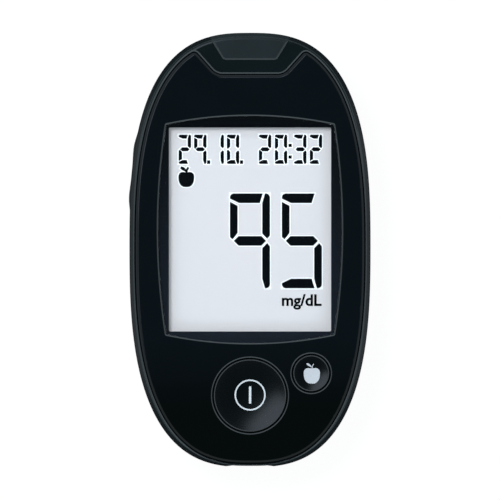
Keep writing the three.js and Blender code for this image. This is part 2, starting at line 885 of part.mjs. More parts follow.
// The rubber strip that carries the signals from the board up to the ledge of the glass
function makeZebraStrip() {
  const high = glassTopY + glassLedge - filmGap;
  const halfWidth = glassHalfWidth - zebraEndMargin;
  const top = glassBottom + glassPlateThickness - filmGap;
  return box(-halfWidth, halfWidth, high - zebraThickness, high, boardTop + filmGap, top);
}

// Board and the parts on it

function makeBoard() {
  const plate = outlineBody([[boardInset, boardBottom], [boardInset, boardTop]]);
  const holes = screwPlaces.map(({ x, y }) => (
    disc(screwShankRadius + 2 * screwPlay, 0, meterHeight, x, y, screwSteps)
  ));
  const { x, y } = rockerPin();
  return cut(plate, ...holes, disc(rockerPinRadius + rockerPinPlay, 0, meterHeight, x, y, screwSteps));
}

// A flat package that lies on the board
function makeChip(width, length) {
  const low = boardTop + filmGap;
  return box(-width / 2, width / 2, -length / 2, length / 2, low, low + chipHeight);
}

// A lamp that stands on the board and lights the guide through its edge
function makeLed() {
  const top = lightGuideBottom + lightGuideThickness;
  return box(-ledWidth / 2, ledWidth / 2, 0, ledDepth, boardTop + filmGap, top);
}

// A thin metal snap dome that stands on the board
function makeDome(radius) {
  const outer = [];
  const inner = [];
  for (let step = 0; step <= roundSteps; step += 1) {
    const share = step / roundSteps;
    const height = domeHeight * (1 - share ** 2);
    outer.unshift([radius * share, Math.max(height, domeThickness)]);
    inner.push([radius * share, Math.max(height - domeThickness, 0)]);
  }
  return turned([...inner, ...outer], 0, 0, smallRoundSteps);
}

// A dished cap, hollow below, with a retaining flange and a stem that presses the dome
function makeButton(capRadius, steps) {
  const top = meterHeight - buttonDrop;
  const flangeTop = deckBottom - gap;
  const flangeLow = flangeTop - flangeThickness;
  const stemLow = boardTop + filmGap + domeHeight + buttonTravel + stemSpare;
  const dishRadius = capRadius - buttonEdge;
  const depth = dishRadius * dishDepthShare;
  const skirt = capRadius - buttonWall;
  const dish = [];
  for (let step = roundSteps; step >= 0; step -= 1) {
    const share = step / roundSteps;
    dish.push([dishRadius * share, top - depth * (1 - share ** 2)]);
  }
  return turned([
    [0, stemLow],
    [stemRadius, stemLow],
    [stemRadius, top - depth - buttonWall],
    [skirt, top - depth - buttonWall],
    [skirt, flangeLow],
    [capRadius + buttonGap + flangeLap, flangeLow],
    [capRadius + buttonGap + flangeLap, flangeTop],
    [capRadius, flangeTop],
    [capRadius, top - buttonEdge],
    ...dish,
  ], 0, 0, steps);
}

// Side rocker

// How far the key stands proud of the case at a share of its half length
function rockerStand(share) {
  const power = Math.log(1 / 2) / Math.log(rockerBumpShare);
  const turn = Math.abs(share) ** power;
  return rockerDip * (1 - turn) + rockerProud * Math.sin(Math.PI * turn) ** 2;
}

// Both edges of a band that follows the left wall, between two insets
function wallBand(halfLength, innerInset, outerInsetAt) {
  const outer = [];
  const inner = [];
  for (let step = 0; step <= rockerSteps; step += 1) {
    const share = (2 * step) / rockerSteps - 1;
    const y = rockerMiddleY + share * halfLength;
    outer.push(new THREE.Vector2(-halfWidthAt(y, 0) + outerInsetAt(share), y));
    inner.unshift(new THREE.Vector2(-halfWidthAt(y, 0) + innerInset, y));
  }
  return new THREE.Shape([...outer, ...inner]);
}

function rockerPin() {
  return { x: -halfWidthAt(rockerMiddleY, 0) + rockerPinInset, y: rockerMiddleY };
}

function makeSideRocker() {
  const pin = rockerPin();
  const low = rockerMiddleZ - rockerHeight / 2;
  const high = rockerMiddleZ + rockerHeight / 2;
  const behind = wall + rockerBehindWall;
  const key = slab(wallBand(rockerLength / 2, behind, (share) => -rockerStand(share)), low, high);
  const flangeBack = behind + rockerFlangeThickness;
  const flange = slab(
    wallBand(rockerFlangeLength / 2, flangeBack, () => behind),
    low - rockerFlangeLap,
    high + rockerFlangeLap,
  );
  const web = box(
    -halfWidthAt(rockerMiddleY, 0) + behind - filmGap,
    pin.x,
    pin.y - rockerWebWidth / 2,
    pin.y + rockerWebWidth / 2,
    low,
    high,
  );
  const shaft = disc(
    rockerPinRadius,
    boardBottom + boardThickness / 2,
    deckBottom + rockerPinSeat,
    pin.x,
    pin.y,
    screwSteps,
  );
  return join(key, flange, web, shaft);
}

// The slot in the left wall and the seat for the upper end of the pin
function rockerCuts() {
  const pin = rockerPin();
  const halfHeight = rockerHeight / 2 + gap;
  const shape = wallBand(rockerLength / 2 + gap, wall + overrun, () => -overrun);
  return [
    slab(shape, rockerMiddleZ - halfHeight, rockerMiddleZ + halfHeight),
    disc(rockerPinRadius + rockerPinPlay, 0, deckBottom + rockerPinSeat + gap, pin.x, pin.y, screwSteps),
  ];
}

// A push switch that lies on the board and faces the rocker
function makeScrollSwitch(y) {
  const keyBack = -halfWidthAt(y, 0) + wall + rockerBehindWall;
  const bodyX = keyBack + scrollPlungerPlay + scrollPlungerReach;
  const low = boardTop + filmGap;
  const high = rockerMiddleZ + rockerHeight / 2;
  const halfWidth = scrollSwitchWidth / 2;
  const body = box(bodyX, bodyX + scrollSwitchDepth, y - halfWidth, y + halfWidth, low, high);
  const plungerHalf = scrollPlungerWidth / 2;
  const plunger = box(
    bodyX - scrollPlungerReach,
    bodyX + filmGap,
    y - plungerHalf,
    y + plungerHalf,
    rockerMiddleZ - plungerHalf,
    rockerMiddleZ + plungerHalf,
  );
  return join(body, plunger);
}

// Test-strip port

function makeStripInsert() {
  const skin = outlineBody([[0, seamZ + gap], ...rimRound(insertProud)]);
  const wedge = slab(new THREE.Shape(grown(insertPoints(), -insertGap)), 0, meterHeight);
  const end = meterLength / 2;
  const halfWidth = slotWidth / 2;
  const slot = box(
    -halfWidth,
    halfWidth,
    insertBaseY - overrun,
    end + overrun,
    slotZ - slotHeight / 2,
    slotZ + slotHeight / 2,
  );
  const pocket = box(
    insertPocketWall - insertBaseHalfWidth,
    insertBaseHalfWidth - insertPocketWall,
    insertBaseY - overrun,
    end - 2 * insertPocketWall,
    slotZ + slotHeight / 2 + insertPocketWall,
    shelfZ - insertPocketWall,
  );
  return cut(skin.intersect(wedge), slot, slotMouth(), pocket);
}

// The flared mouth that leads a strip into the slot
function slotMouth() {
  const halfWidth = slotWidth / 2;
  const halfHeight = slotHeight / 2;
  const plan = roundedRectangle(-halfWidth, halfWidth, slotZ - halfHeight, slotZ + halfHeight);
  const geometry = new THREE.ExtrudeGeometry(plan, {
    depth: 2 * overrun,
    bevelThickness: slotMouthDepth,
    bevelSize: slotMouthFlare,
    bevelSegments: 1,
  });
  return solid(geometry.rotateX(Math.PI / 2).translate(0, meterLength / 2 + 2 * overrun, 0));
}

function stripContactX(index) {
  return (index - (stripContactCount - 1) / 2) * stripContactPitch;
}

function makeStripConnector() {
  const halfWidth = connectorWidth / 2;
  const low = boardTop + filmGap;
  const high = low + connectorHeight;
  const body = box(-halfWidth, halfWidth, connectorBackY, connectorFrontY, low, high);
  const slot = box(
    -slotWidth / 2,
    slotWidth / 2,
    connectorBackY + connectorBack,
    connectorFrontY + overrun,
    slotZ - slotHeight / 2,
    slotZ + slotHeight / 2,
  );
  const grooves = [];
  for (let i = 0; i < stripContactCount; i += 1) {
    const left = stripContactX(i) - stripContactGroove / 2;
    grooves.push(box(
      left,
      left + stripContactGroove,
      connectorBackY - overrun,
      connectorFrontY - connectorFront,
      slotZ,
      high + overrun,
    ));
  }
  return cut(body, slot, ...grooves);
}

// A spring contact: soldered behind the connector, over its back and down onto the strip
function makeStripContact() {
  const half = contactThickness / 2;
  const foot = boardTop + filmGap + half;
  const rise = slotZ + stripContactLift;
  const back = connectorBackY - gap - half;
  const tip = connectorFrontY - connectorFront - gap - half;
  const touch = tip - connectorFront;
  const shape = ribbon([
    [back - stripContactTail, foot],
    [back, foot],
    [back, rise],
    [connectorBackY + connectorBack, rise],
    [touch, rise - stripContactDip],
    [tip, rise],
  ], contactThickness);
  return sideSlab(shape, -stripContactWidth / 2, stripContactWidth / 2);
}

// Data socket

function socketTube(shrink, nearY, farY) {
  const halfWidth = socketWidth / 2 - shrink;
  const low = socketBottom + shrink;
  const high = socketBottom + socketHeight - shrink;
  const plan = roundedRectangle(-halfWidth, halfWidth, low, high, socketCorner - shrink);
  return endSlab(plan, nearY, farY, socketCornerSteps);
}

function socketMouthY() {
  return bottomEndAt(0, notchDepth) + socketRecess;
}

function makeSocket() {
  const near = socketMouthY();
  const far = near + socketLength;
  return cut(socketTube(0, near, far), socketTube(socketWall, near - overrun, far + overrun));
}

function makeSocketInsert() {
  const near = socketMouthY() + gap;
  const far = socketMouthY() + socketLength;
  const middle = socketBottom + socketHeight / 2;
  const tongue = box(
    -socketTongueWidth / 2,
    socketTongueWidth / 2,
    near,
    far,
    middle - socketTongueThickness / 2,
    middle + socketTongueThickness / 2,
  );
  return join(socketTube(socketWall + filmGap, far - socketBack, far), tongue);
}

// Battery bay

// A coin cell with its wide can down and its smaller cap up
function makeCell() {
  return turned([
    [0, 0],
    [cellRadius - cellRimDrop, 0],
    [cellRadius, cellRimDrop],
    [cellRadius, cellThickness - 2 * cellRimDrop],
    [cellRadius - cellCapInset, cellThickness - cellRimDrop],
    [cellRadius - cellCapInset, cellThickness],
    [0, cellThickness],
  ]);
}

// Spring strip that presses on the cap of the lower cell and runs up to the board
function makeNegativeContact() {
  const [tail] = contactTails();
  const level = bayRoofBottom - filmGap - contactThickness / 2;
  const press = cellTop + filmGap + contactThickness / 2;
  const shape = ribbon([
    [tail.y, boardBottom - filmGap],
    [tail.y, level],
    [lowerCellY, level],
    [lowerCellY + cellRadius / 3, press],
    [lowerCellY + cellRadius / 2, press + filmGap],
  ], contactThickness);
  return sideSlab(shape, -cellContactWidth / 2, cellContactWidth / 2);
}

// Blade beside the can of the upper cell
function makePositiveContact() {
  const tail = contactTails()[1];
  const level = bayRoofBottom - filmGap - contactThickness / 2;
  const blade = bayHalfWidth - filmGap - contactThickness / 2;
  const shape = ribbon([
    [tail.x, boardBottom - filmGap],
    [tail.x, level],
    [blade, level],
    [blade, cellBottom + cellContactSlack],
  ], contactThickness);
  return endSlab(shape, tail.y - cellContactWidth / 2, tail.y + cellContactWidth / 2);
}

// Strip that joins the cap of the upper cell to the can of the lower one
function makeCellLink() {
  const level = bayRoofBottom - filmGap - contactThickness / 2;
  const press = cellTop + filmGap + contactThickness / 2;
  const canEdge = lowerCellY + Math.sqrt(cellRadius ** 2 - (cellLinkX - cellContactWidth / 2) ** 2);
  const leg = canEdge + filmGap + contactThickness;
  const shape = ribbon([
    [upperCellY - cellRadius / 4, press + filmGap],
    [upperCellY - cellRadius / 3, press],
    [upperCellY - cellRadius / 2, level],
    [leg, level],
    [leg, cellBottom + cellContactSlack],
  ], contactThickness);
  return sideSlab(shape, cellLinkX - cellContactWidth / 2, cellLinkX + cellContactWidth / 2);
}

// The door, its pads under the cells, two tongues at the hinge end and a latch at the other
function makeDoor() {
  const highY = doorHingeY - gap;
  const lowY = bayMiddleY - doorOpeningHalfLength + gap;
  const halfWidth = doorOpeningHalfWidth - gap;
  const plan = roundedRectangle(-halfWidth, halfWidth, lowY, highY, doorCorner - gap);
  const plate = slab(plan, doorRecess, doorTop);
  const pads = [-1, 1].map((side) => {
    const x = (side * doorPadSpacing) / 2;
    const reach = bayHalfLength - cellRadius / 2;
    return box(
      x - doorPadWidth / 2,
      x + doorPadWidth / 2,
      bayMiddleY - reach,
      bayMiddleY + reach,
      doorTop - filmGap,
      doorTop + doorPadHeight,
    );
  });
  const grooves = [];
  for (let i = 0; i < doorGrooveCount; i += 1) {
    const y = lowY + doorGrooveFromEnd + i * doorGroovePitch;
    const half = doorGrooveLength / 2;
    grooves.push(box(-half, half, y, y + doorGrooveWidth, 0, doorRecess + doorGrooveDepth));
  }
  return cut(join(plate, ...pads, ...doorTongues(), doorLatch()), ...grooves);
}

function doorTongues() {
  const highY = doorHingeY - gap;
  const low = backWall + gap;
  return [-1, 1].map((side) => {
    const middle = (side * tongueSpacing) / 2;
    const left = middle - tongueWidth / 2;
    const right = middle + tongueWidth / 2;
    return join(
      box(left, right, highY - tongueLeg, highY, doorTop - filmGap, low + tongueThickness),
      box(left, right, highY - filmGap, doorHingeY + tongueReach, low, low + tongueThickness),
    );
  });
}

// A snap finger with a small bead
function doorLatch() {
  const lowY = bayMiddleY - doorOpeningHalfLength + gap;
  const half = latchWidth / 2;
  const top = doorTop + latchHeight;
  return join(
    box(-half, half, lowY, lowY + latchThickness, doorTop - filmGap, top),
    box(-half, half, lowY - latchBead, lowY + filmGap, top - latchThickness, top),
  );
}

// A screw, from the flat of its head at zero up its shank
function makeScrew() {
  const length = boardTop + gap + screwGrip - screwHeadTop;
  const body = turned([
    [0, 0],
    [screwHeadRadius - screwCrossWidth / 2, 0],
    [screwHeadRadius, screwHeadHeight / 2],
    [screwHeadRadius, screwHeadHeight],
    [screwShankRadius, screwHeadHeight],
    [screwShankRadius, screwHeadHeight + length - screwShankRadius],
    [0, screwHeadHeight + length],
  ], 0, 0, screwSteps);
  const arm = screwHeadRadius - screwCrossWidth;
  const half = screwCrossWidth / 2;
  return cut(
    body,
    box(-arm, arm, -half, half, -overrun, screwCrossDepth),
    box(-half, half, -arm, arm, -overrun, screwCrossDepth),
  );
}

// Buzzer: a round can with a sound hole in its lid
function makeBuzzer() {
  return turned([
    [0, 0],
    [buzzerRadius, 0],
    [buzzerRadius, buzzerHeight],
    [buzzerHoleRadius, buzzerHeight],
    [buzzerHoleRadius, buzzerHeight / 2],
    [0, buzzerHeight / 2],
  ], 0, 0, screwSteps);
}

// Finishes

function finish(color, roughness, metalness = 0) {
  return new THREE.MeshStandardMaterial({ color, roughness, metalness });
}

const satinBlack = finish(0x1b2023, 0.42);
const mattBlack = finish(0x15181a, 0.6);
const glossBlack = finish(0x0b1116, 0.08);
const darkGrey = finish(0x272e32, 0.4);
const printedBlack = finish(0x10151a, 0.5);
const whitePlastic = finish(0xe6e8e6, 0.55);
const clearPlastic = new THREE.MeshStandardMaterial({
  color: 0xdfe8ee,
  roughness: 0.05,
  transparent: true,
  opacity: 0.3,
});
const displayGlass = finish(0xe5ebf0, 0.2);
const film = finish(0xc9d0d2, 0.3);
const foam = finish(0x202224, 0.95);
const rubber = finish(0xb8bcc0, 0.8);
const circuitBoard = finish(0x1d5b39, 0.5);
const chipBlack = finish(0x1a1a1c, 0.55);
const nickel = finish(0xb9bbb8, 0.3, 1);
const steel = finish(0xc8cacc, 0.28, 1);
const gold = finish(0xc9a24a, 0.3, 1);
const zinc = finish(0xa9adb0, 0.35, 1);

const meter = new THREE.Group();

function place(name, body, material, x = 0, y = 0, z = 0) {
  const made = body.getMesh();
  const geometry = new THREE.BufferGeometry();
  geometry.setAttribute('position', new THREE.BufferAttribute(made.vertProperties, made.numProp));
  geometry.setIndex(new THREE.BufferAttribute(made.triVerts, 1));
  geometry.computeVertexNormals();
  const mesh = new THREE.Mesh(geometry, material);
  mesh.name = name;
  mesh.position.set(x, y, z);
  meter.add(mesh);
}

// Case and panel
place('rear_shell', makeRearShell(), mattBlack);
place('upper_housing', makeUpperHousing(), satinBlack);
place('front_panel', makeFrontPanel(), glossBlack);

// Display stack, from the front
place('display_window', makeDisplayWindow(), clearPlastic);
place('window_mask', makeWindowMask(), printedBlack);
place('lcd_gasket', makeGasket(), foam);
place('lcd_front_polariser', makePolariser(frontPolariserBottom), film);
place('lcd_glass', makeGlass(), displayGlass);
place('lcd_rear_polariser', makePolariser(rearPolariserBottom), film);
place('light_guide', makeLightGuide(), clearPlastic);
place('lcd_holder', makeHolder(), whitePlastic);
place('zebra_strip', makeZebraStrip(), rubber);

// Board
place('main_board', makeBoard(), circuitBoard);
place('controller_chip', makeChip(chipSize, chipSize), chipBlack, 0, viewMiddle);
place('memory_chip', makeChip(memoryWidth, memoryLength), chipBlack, 0, viewMiddle + chipSpacing);
place('crystal', makeChip(crystalWidth, crystalLength), steel, 0, viewMiddle - chipSpacing);
place('buzzer', makeBuzzer(), chipBlack, buzzerX, mealY, boardTop + filmGap);
for (const [side, name] of [[-1, 'backlight_led_left'], [1, 'backlight_led_right']]) {
  place(name, makeLed(), whitePlastic, (side * ledSpacing) / 2, glassTopY + 2 * filmGap);
}

// Buttons and their domes
place('power_button', makeButton(powerCapRadius, buttonSteps), glossBlack, 0, powerY);
place('meal_button', makeButton(mealCapRadius, smallRoundSteps), glossBlack, mealX, mealY);
place('power_dome', makeDome(powerDomeRadius), steel, 0, powerY, boardTop + filmGap);
place('meal_dome', makeDome(mealDomeRadius), steel, mealX, mealY, boardTop + filmGap);

// Side rocker and the two switches behind it
place('side_rocker', makeSideRocker(), mattBlack);
place('scroll_switch_up', makeScrollSwitch(rockerMiddleY + scrollSwitchSpacing / 2), chipBlack);
place('scroll_switch_down', makeScrollSwitch(rockerMiddleY - scrollSwitchSpacing / 2), chipBlack);

// Strip port
place('strip_port_insert', makeStripInsert(), darkGrey);
place('strip_connector', makeStripConnector(), whitePlastic);
for (let i = 0; i < stripContactCount; i += 1) {
  place(`strip_contact_${i + 1}`, makeStripContact(), gold, stripContactX(i));
}

// Data socket
place('data_socket', makeSocket(), nickel);
place('data_socket_insert', makeSocketInsert(), chipBlack);

// Battery bay
place('battery_cell_upper', makeCell(), nickel, 0, upperCellY, cellBottom);
place('battery_cell_lower', makeCell(), nickel, 0, lowerCellY, cellBottom);
place('negative_contact', makeNegativeContact(), gold);
place('positive_contact', makePositiveContact(), gold);
place('cell_link', makeCellLink(), gold);
place('battery_door', makeDoor(), mattBlack);

// Case screws
for (const { name, x, y } of screwPlaces) {
  place(name, makeScrew(), zinc, x, y, screwHeadTop - screwHeadHeight);
}

export default meter;
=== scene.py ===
import json
from math import acos, atan2, copysign, cos, hypot, log, pi, radians, sin, sqrt, tan

import bmesh
import bpy
from mathutils import Matrix, Vector


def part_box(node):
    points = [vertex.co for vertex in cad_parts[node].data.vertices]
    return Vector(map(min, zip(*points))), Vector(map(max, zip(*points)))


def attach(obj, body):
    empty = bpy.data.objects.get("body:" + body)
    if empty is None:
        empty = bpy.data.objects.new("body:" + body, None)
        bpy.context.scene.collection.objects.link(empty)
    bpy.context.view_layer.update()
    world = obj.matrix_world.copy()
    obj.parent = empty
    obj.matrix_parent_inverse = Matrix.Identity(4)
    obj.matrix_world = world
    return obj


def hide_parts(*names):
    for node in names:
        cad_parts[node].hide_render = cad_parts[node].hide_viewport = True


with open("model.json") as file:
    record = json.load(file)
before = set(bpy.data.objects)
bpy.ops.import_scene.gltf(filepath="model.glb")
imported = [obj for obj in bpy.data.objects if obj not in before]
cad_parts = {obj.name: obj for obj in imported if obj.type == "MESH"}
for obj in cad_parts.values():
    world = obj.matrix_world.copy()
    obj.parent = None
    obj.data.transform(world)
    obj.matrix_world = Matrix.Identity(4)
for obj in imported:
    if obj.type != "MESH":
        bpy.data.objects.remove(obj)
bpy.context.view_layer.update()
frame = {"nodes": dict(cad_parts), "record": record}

# Lengths are in millimetres, and each piece is scaled to metres when it is finished. Points nearer
# than MERGE are one.
MM = 0.001
MERGE = 0.001
ACROSS = Vector((1, 0, 0))
ALONG = Vector((0, 1, 0))


def node_box(node):
    low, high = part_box(node)
    return low / MM, high / MM


def centre_of(node):
    low, high = node_box(node)
    return (low.x + high.x) / 2, (low.y + high.y) / 2


shell_high = node_box("rear_shell")[1]
panel_low, panel_high = node_box("front_panel")
window_low, window_high = node_box("display_window")
mask_low, mask_high = node_box("window_mask")
display_face = node_box("lcd_front_polariser")[1].z
rocker_low, rocker_high = node_box("side_rocker")
insert_top = node_box("strip_port_insert")[1].z
door_high = node_box("battery_door")[1]
socket_low, socket_high = node_box("data_socket")
board_top = node_box("main_board")[1].z

# Camera, straight above the display and so far away that hardly any perspective is left
IMAGE_SPAN = 112.9
CAMERA_HEIGHT = 3000
CAMERA_REACH = 20000
SENSOR_WIDTH = 36
RIM_HEIGHT = 15

lens = bpy.data.cameras.new("camera")
lens.sensor_width = SENSOR_WIDTH
lens.lens = SENSOR_WIDTH * (CAMERA_HEIGHT - RIM_HEIGHT) / IMAGE_SPAN
lens.clip_end = CAMERA_REACH * MM
camera = bpy.data.objects.new("camera", lens)
camera.location = (0, 0, CAMERA_HEIGHT * MM)
bpy.context.scene.collection.objects.link(camera)
bpy.context.scene.camera = camera
bpy.context.scene.view_settings.view_transform = "Standard"

# Outline of the case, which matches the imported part
HALF_LENGTH = shell_high.y
HALF_WIDTH = shell_high.x
WIDEST_ROW = 0.9
OUTLINE_POWER = 2.745
OUTLINE_STEPS = 240
ARC_STEPS = 12
ROUND_STEPS = 96
BOW_STEPS = 24
BAND_STEPS = 60
DISH_STEPS = 24
FRUIT_STEPS = 72

# Broken edges of a moulding, a crisper and a polished one, of sheet metal and of a cell
MOULD_EDGE = 0.12
CRISP_EDGE = 0.04
POLISHED_EDGE = 0.02
METAL_EDGE = 0.06
CELL_EDGE = 0.05
# Turn in degrees from which an edge is sharp, and the same on the finely curved pieces
CREASE = 35
FINE_CREASE = 20

# Case
GAP = 0.3
WALL = 1.6
BACK_WALL = 1.8
LIP_HEIGHT = 1
LIP_INSET = 0.95
SEAM_EDGE = 0.12
BACK_ROUND_INSET = 6
BACK_ROUND_RISE = 5.2
# How far the top lies under the shelf at an inset from the outline: a narrow steep edge, a gentle
# slope and then the level shelf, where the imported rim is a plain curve
RIM_SLOPE = [(0, 0.73), (0.04, 0.69), (0.2, 0.55), (0.83, 0.172), (0.88, 0.148), (1.1, 0.07),
             (1.35, 0.02), (1.6, 0)]
RIM_EDGE = 0.29
SEAM = shell_high.z - LIP_HEIGHT
SHELF = node_box("upper_housing")[1].z
# How far cuts overrun, joined pieces lap and a point may lie from a level that it is on
OVERRUN = 1
LAP = 0.1
NEAR = 0.01
# Steps of the search for how far inside the outline a place lies
HALVINGS = 20
# How steeply the small chamfers fall, so flat that they see over the pieces beside them
CHAMFER_FALL = 0.456

# Front panel
PANEL_INSET = 1.33
PANEL_GAP = 0.2
PANEL_ROUND = 0.74
PANEL_ROUND_STEPS = 6
# How far the top falls away towards the sides and the ends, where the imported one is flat
PANEL_CROWN = 0.2
PANEL_END_CROWN = 0.22
PANEL_END_POWER = 4
PANEL_SLICE = 2
PANEL_LONG_SLICE = 3
# Slope of the panel's edge band where it starts and ends, and the share of the way across at
# which its steep outer part begins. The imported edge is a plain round.
BAND_START = 0.26
BAND_END = 0.33
BAND_EDGE_SHARE = 0.87
BAND_EDGE_DROP = 0.25
PANEL_EDGE = 0.28
# The panel's own outline, and how far its bottom end lies lower than the case's would
PANEL_POWER = 2.63
PANEL_DROP = 0.4
EAR_HALF_WIDTH = 12.5
EAR_ROUND = 1
VALLEY_HALF_WIDTH = 7.65
VALLEY_DEPTH = 9.43
VALLEY_ROUND = 3
# How far the corners move in, for each millimetre by which the plan grows
EAR_SHIFT = 0.27
VALLEY_SHIFT = 0.4
# Points of the outline this near an ear's corner make way for its round
EAR_CLEARANCE = 1.9
FILM_GAP = 0.1
DECK = 1.2
DECK_TOP = panel_low.z - FILM_GAP
DECK_BOTTOM = DECK_TOP - DECK

# Display
VIEW_HALF_WIDTH = 18.3
VIEW_TOP = 27.63
VIEW_BOTTOM = -18.38
VIEW_MIDDLE = (VIEW_TOP + VIEW_BOTTOM) / 2
MASK_BESIDE_VIEW = 0.9
MASK_OVER_VIEW = 0.93
WINDOW_HALF_WIDTH = VIEW_HALF_WIDTH + MASK_BESIDE_VIEW
WINDOW_HALF_HEIGHT = (VIEW_TOP - VIEW_BOTTOM) / 2 + MASK_OVER_VIEW
WINDOW_SIDE_BULGE = 1.85
WINDOW_END_BULGE = 2
WINDOW_EDGE = 0.06
WINDOW_CORNER = 0.52
# The panel's opening is drawn this much smaller than its solid's, and the window with it
WINDOW_SETBACK = 0.3
WINDOW_SEAM = 0.06
VIEW_CORNER = 0.3
DECK_VIEW_MARGIN = 0.5
# A digit's width, height, stem, bar and gap
LARGE_DIGIT = (9.03, 21.4, 1.73, 2.16, 0.45)
SMALL_DIGIT = (2.8, 6.6, 0.76, 0.89, 0.1)
READING_Y = -8.64
READING = (("9", -4.53), ("5", 7.19))
DATE_Y = 19.44
DATE = (("2", -16.11), ("9", -12.63), ("1", -8.69), ("0", -5.23), ("2", 2.0), ("0", 5.61),
        ("3", 9.94), ("2", 13.49))
DOT_WIDTH = 0.72
# Left side, low end and high end of each dot in the date and the time
DOTS = ((-9.7, 19.44, 20.25), (-2.28, 19.44, 20.25), (8.7, 23.26, 23.98), (8.7, 20.64, 21.34))
HALO = 0.25
# Heights over the display's face
HALO_LAYER = (0.005, 0.02)
MARK_LAYER = (0.03, 0.06)
# Left, right, low and high end of the unit's letters
UNIT_BOX = (7.19, 16.17, -13.47, -9.97)
UNIT_BOLDNESS = 0.028
# A fruit mark's middle, its width and how much bolder its leaf and stalk are
DISPLAY_FRUIT = (-14.38, 15.98, 3.5, 0.13)
KEY_FRUIT = (13.95, -28.31, 3.6, -0.02)
# Power of the curve, height and dent of the fruit's two halves. Lengths are tenths of its width.
FRUIT_TOP = (0.71, 5.05, 0.15)
FRUIT_BOTTOM = (0.85, 5.25, 0.04)
FRUIT_SHOULDER = 0.1
LEAF = ((-3.5, 7.1), (-3.2, 7.8), (-1.9, 7.55), (-0.9, 6.6), (0, 5.7), (-0.3, 4.9), (-1.2, 5.6),
        (-2.5, 6.2))
STALK = ((-0.3, 4), (0.5, 4), (0.6, 5.8), (1.4, 7.2), (0.9, 7.5), (0.1, 6.2))

# Buttons
POWER_RADIUS = 8.12
MEAL_RADIUS = 4.02
BUTTON_GAP = 0.45
POWER_Y = centre_of("power_button")[1]
MEAL_X, MEAL_Y = centre_of("meal_button")
BUTTON_TOP = node_box("power_button")[1].z
KEYS = {"power": (POWER_RADIUS, 0, POWER_Y), "meal": (MEAL_RADIUS, MEAL_X, MEAL_Y)}
BUTTON_EDGE = 0.2
DISH_SHARE = 0.11
HOLE_EDGE = 0.22
BUTTON_WALL = 1.2
BUTTON_FLANGE = 0.8
STEM_RADIUS = 1.5
RING_OUTER = 3.5
RING_INNER = 3.17
# Left, right, low and high end of the power sign's stroke, and the round of its corners
STROKE = (-0.26, 0.26, -1.93, 1.95, 0.1)
SYMBOL_SHIFT = (0.02, 0.1)
PRINT_SLICE = 0.4
# Where the panel's colour turns to that of its foot, a painted shade that darkens it towards the
# bottom end
PAINTED_SHADE_START = -20
PAINTED_SHADE_END = -36
INK = 0.04

# Side rocker
ROCKER_MIDDLE_Y = centre_of("side_rocker")[1]
ROCKER_LENGTH = rocker_high.y - rocker_low.y
ROCKER_HEIGHT = 3.6
ROCKER_PROUD = 0.285
ROCKER_DIP = 0.09
ROCKER_BUMP_SHARE = 0.6
ROCKER_EDGE = 0.3
ROCKER_CREASE = 60
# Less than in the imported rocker, so that it clears its switches
ROCKER_BEHIND_WALL = 0.34
ROCKER_FLANGE_LENGTH = 8
ROCKER_FLANGE = 0.74
ROCKER_FLANGE_LAP = 0.4
ROCKER_WEB = 2.4
ROCKER_PIN_INSET = 4
ROCKER_PIN_RADIUS = 0.8
ROCKER_Z = (board_top + DECK_BOTTOM) / 2

# Strip port
INSERT_DEPTH = 6.04
INSERT_BASE_HALF_WIDTH = 5.9
INSERT_MOUTH_HALF_WIDTH = 9.7
INSERT_CORNER = 1
INSERT_GAP = 0.15
INSERT_SEAM = 0.05
INSERT_EDGE = 0.42
INSERT_PROUD = insert_top - SHELF
SLOT_WIDTH = 8.2
SLOT_HEIGHT = 1.3
SLOT_OVER_BOARD = 2
SLOT_Z = board_top + SLOT_OVER_BOARD
SLOT_MOUTH_DEPTH = 1.6
SLOT_MOUTH_FLARE = 0.9

# Bottom end
NOTCH_HALF_WIDTH = 3.95
NOTCH_BLEND = 1.45
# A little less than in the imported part
NOTCH_DEPTH = 0.3
SOCKET_CORNER = 0.7
SOCKET_WALL = 0.3
CONTACTS = 5
CONTACT_PITCH = 0.8
CONTACT_HALF_WIDTH = 0.2
CONTACT_START = 0.3
CONTACT_END = 1.2
# Low and high side of the contacts under the middle of the tongue
CONTACT_LAYER = (0.36, 0.31)

# Battery bay
CELL_RADIUS = 10
CELL_SPACING = 21.2
BAY_MIDDLE_Y = (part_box("battery_cell_upper")[0].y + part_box("battery_cell_lower")[1].y) / 2 / MM
CELL_ROOM = 0.6
BAY_HALF_WIDTH = CELL_RADIUS + CELL_ROOM
BAY_HALF_LENGTH = CELL_SPACING / 2 + CELL_RADIUS + CELL_ROOM
BAY_WALL = 2
BAY_ROOF_BOTTOM = 6.2
BAY_ROOF_TOP = 7
DOOR_LEDGE = 1.2
DOOR_CORNER = 1.5
DOOR_TOP = 1.3
TONGUE_WIDTH = 4
TONGUE_SPACING = 12
TONGUE_LEG = 1.3
LATCH_WIDTH = 6
# Height of the rim round a cell's cap, the share of it that the bends cut off the corners, and how
# far in the cap starts, in rims
CELL_RIM = 0.4
CELL_BEND = 0.3
CELL_CAP_INSET = 3
# Arm, half width and depth of the plus pressed into a cell
PLUS = (1.6, 0.25, 0.1)
CROSS_INSET = 0.6
CROSS_HALF_WIDTH = 0.3
CROSS_DEPTH = 0.8
CONTACT_ROOM = 0.6
SCOOP_RADIUS = 4
SCOOP_DEPTH = 0.8
SCREW_NODES = [f"case_screw_{i + 1}" for i in range(4)]
SCREW_RECESS_RADIUS = 2.55
SCREW_HOLE_RADIUS = 1.3
SCREW_SHANK_RADIUS = 1
SCREW_POINT = 1
SCREW_HEAD_HEIGHT = 1.4
# Inset and height of the points that round a screw's head
SCREW_HEAD_ROUND = ((0.5, 0), (0.15, 0.25), (0, 0.6))
SCREW_SHELF_BOTTOM = 6.2
POST_RADIUS = 3.65
POST_TOP = 7.7

# Floor, in metres but for its gap under the part
FLOOR_SIZE = 4
FLOOR_SHIFT = 1
FLOOR_GAP = 0.05


# Shapes


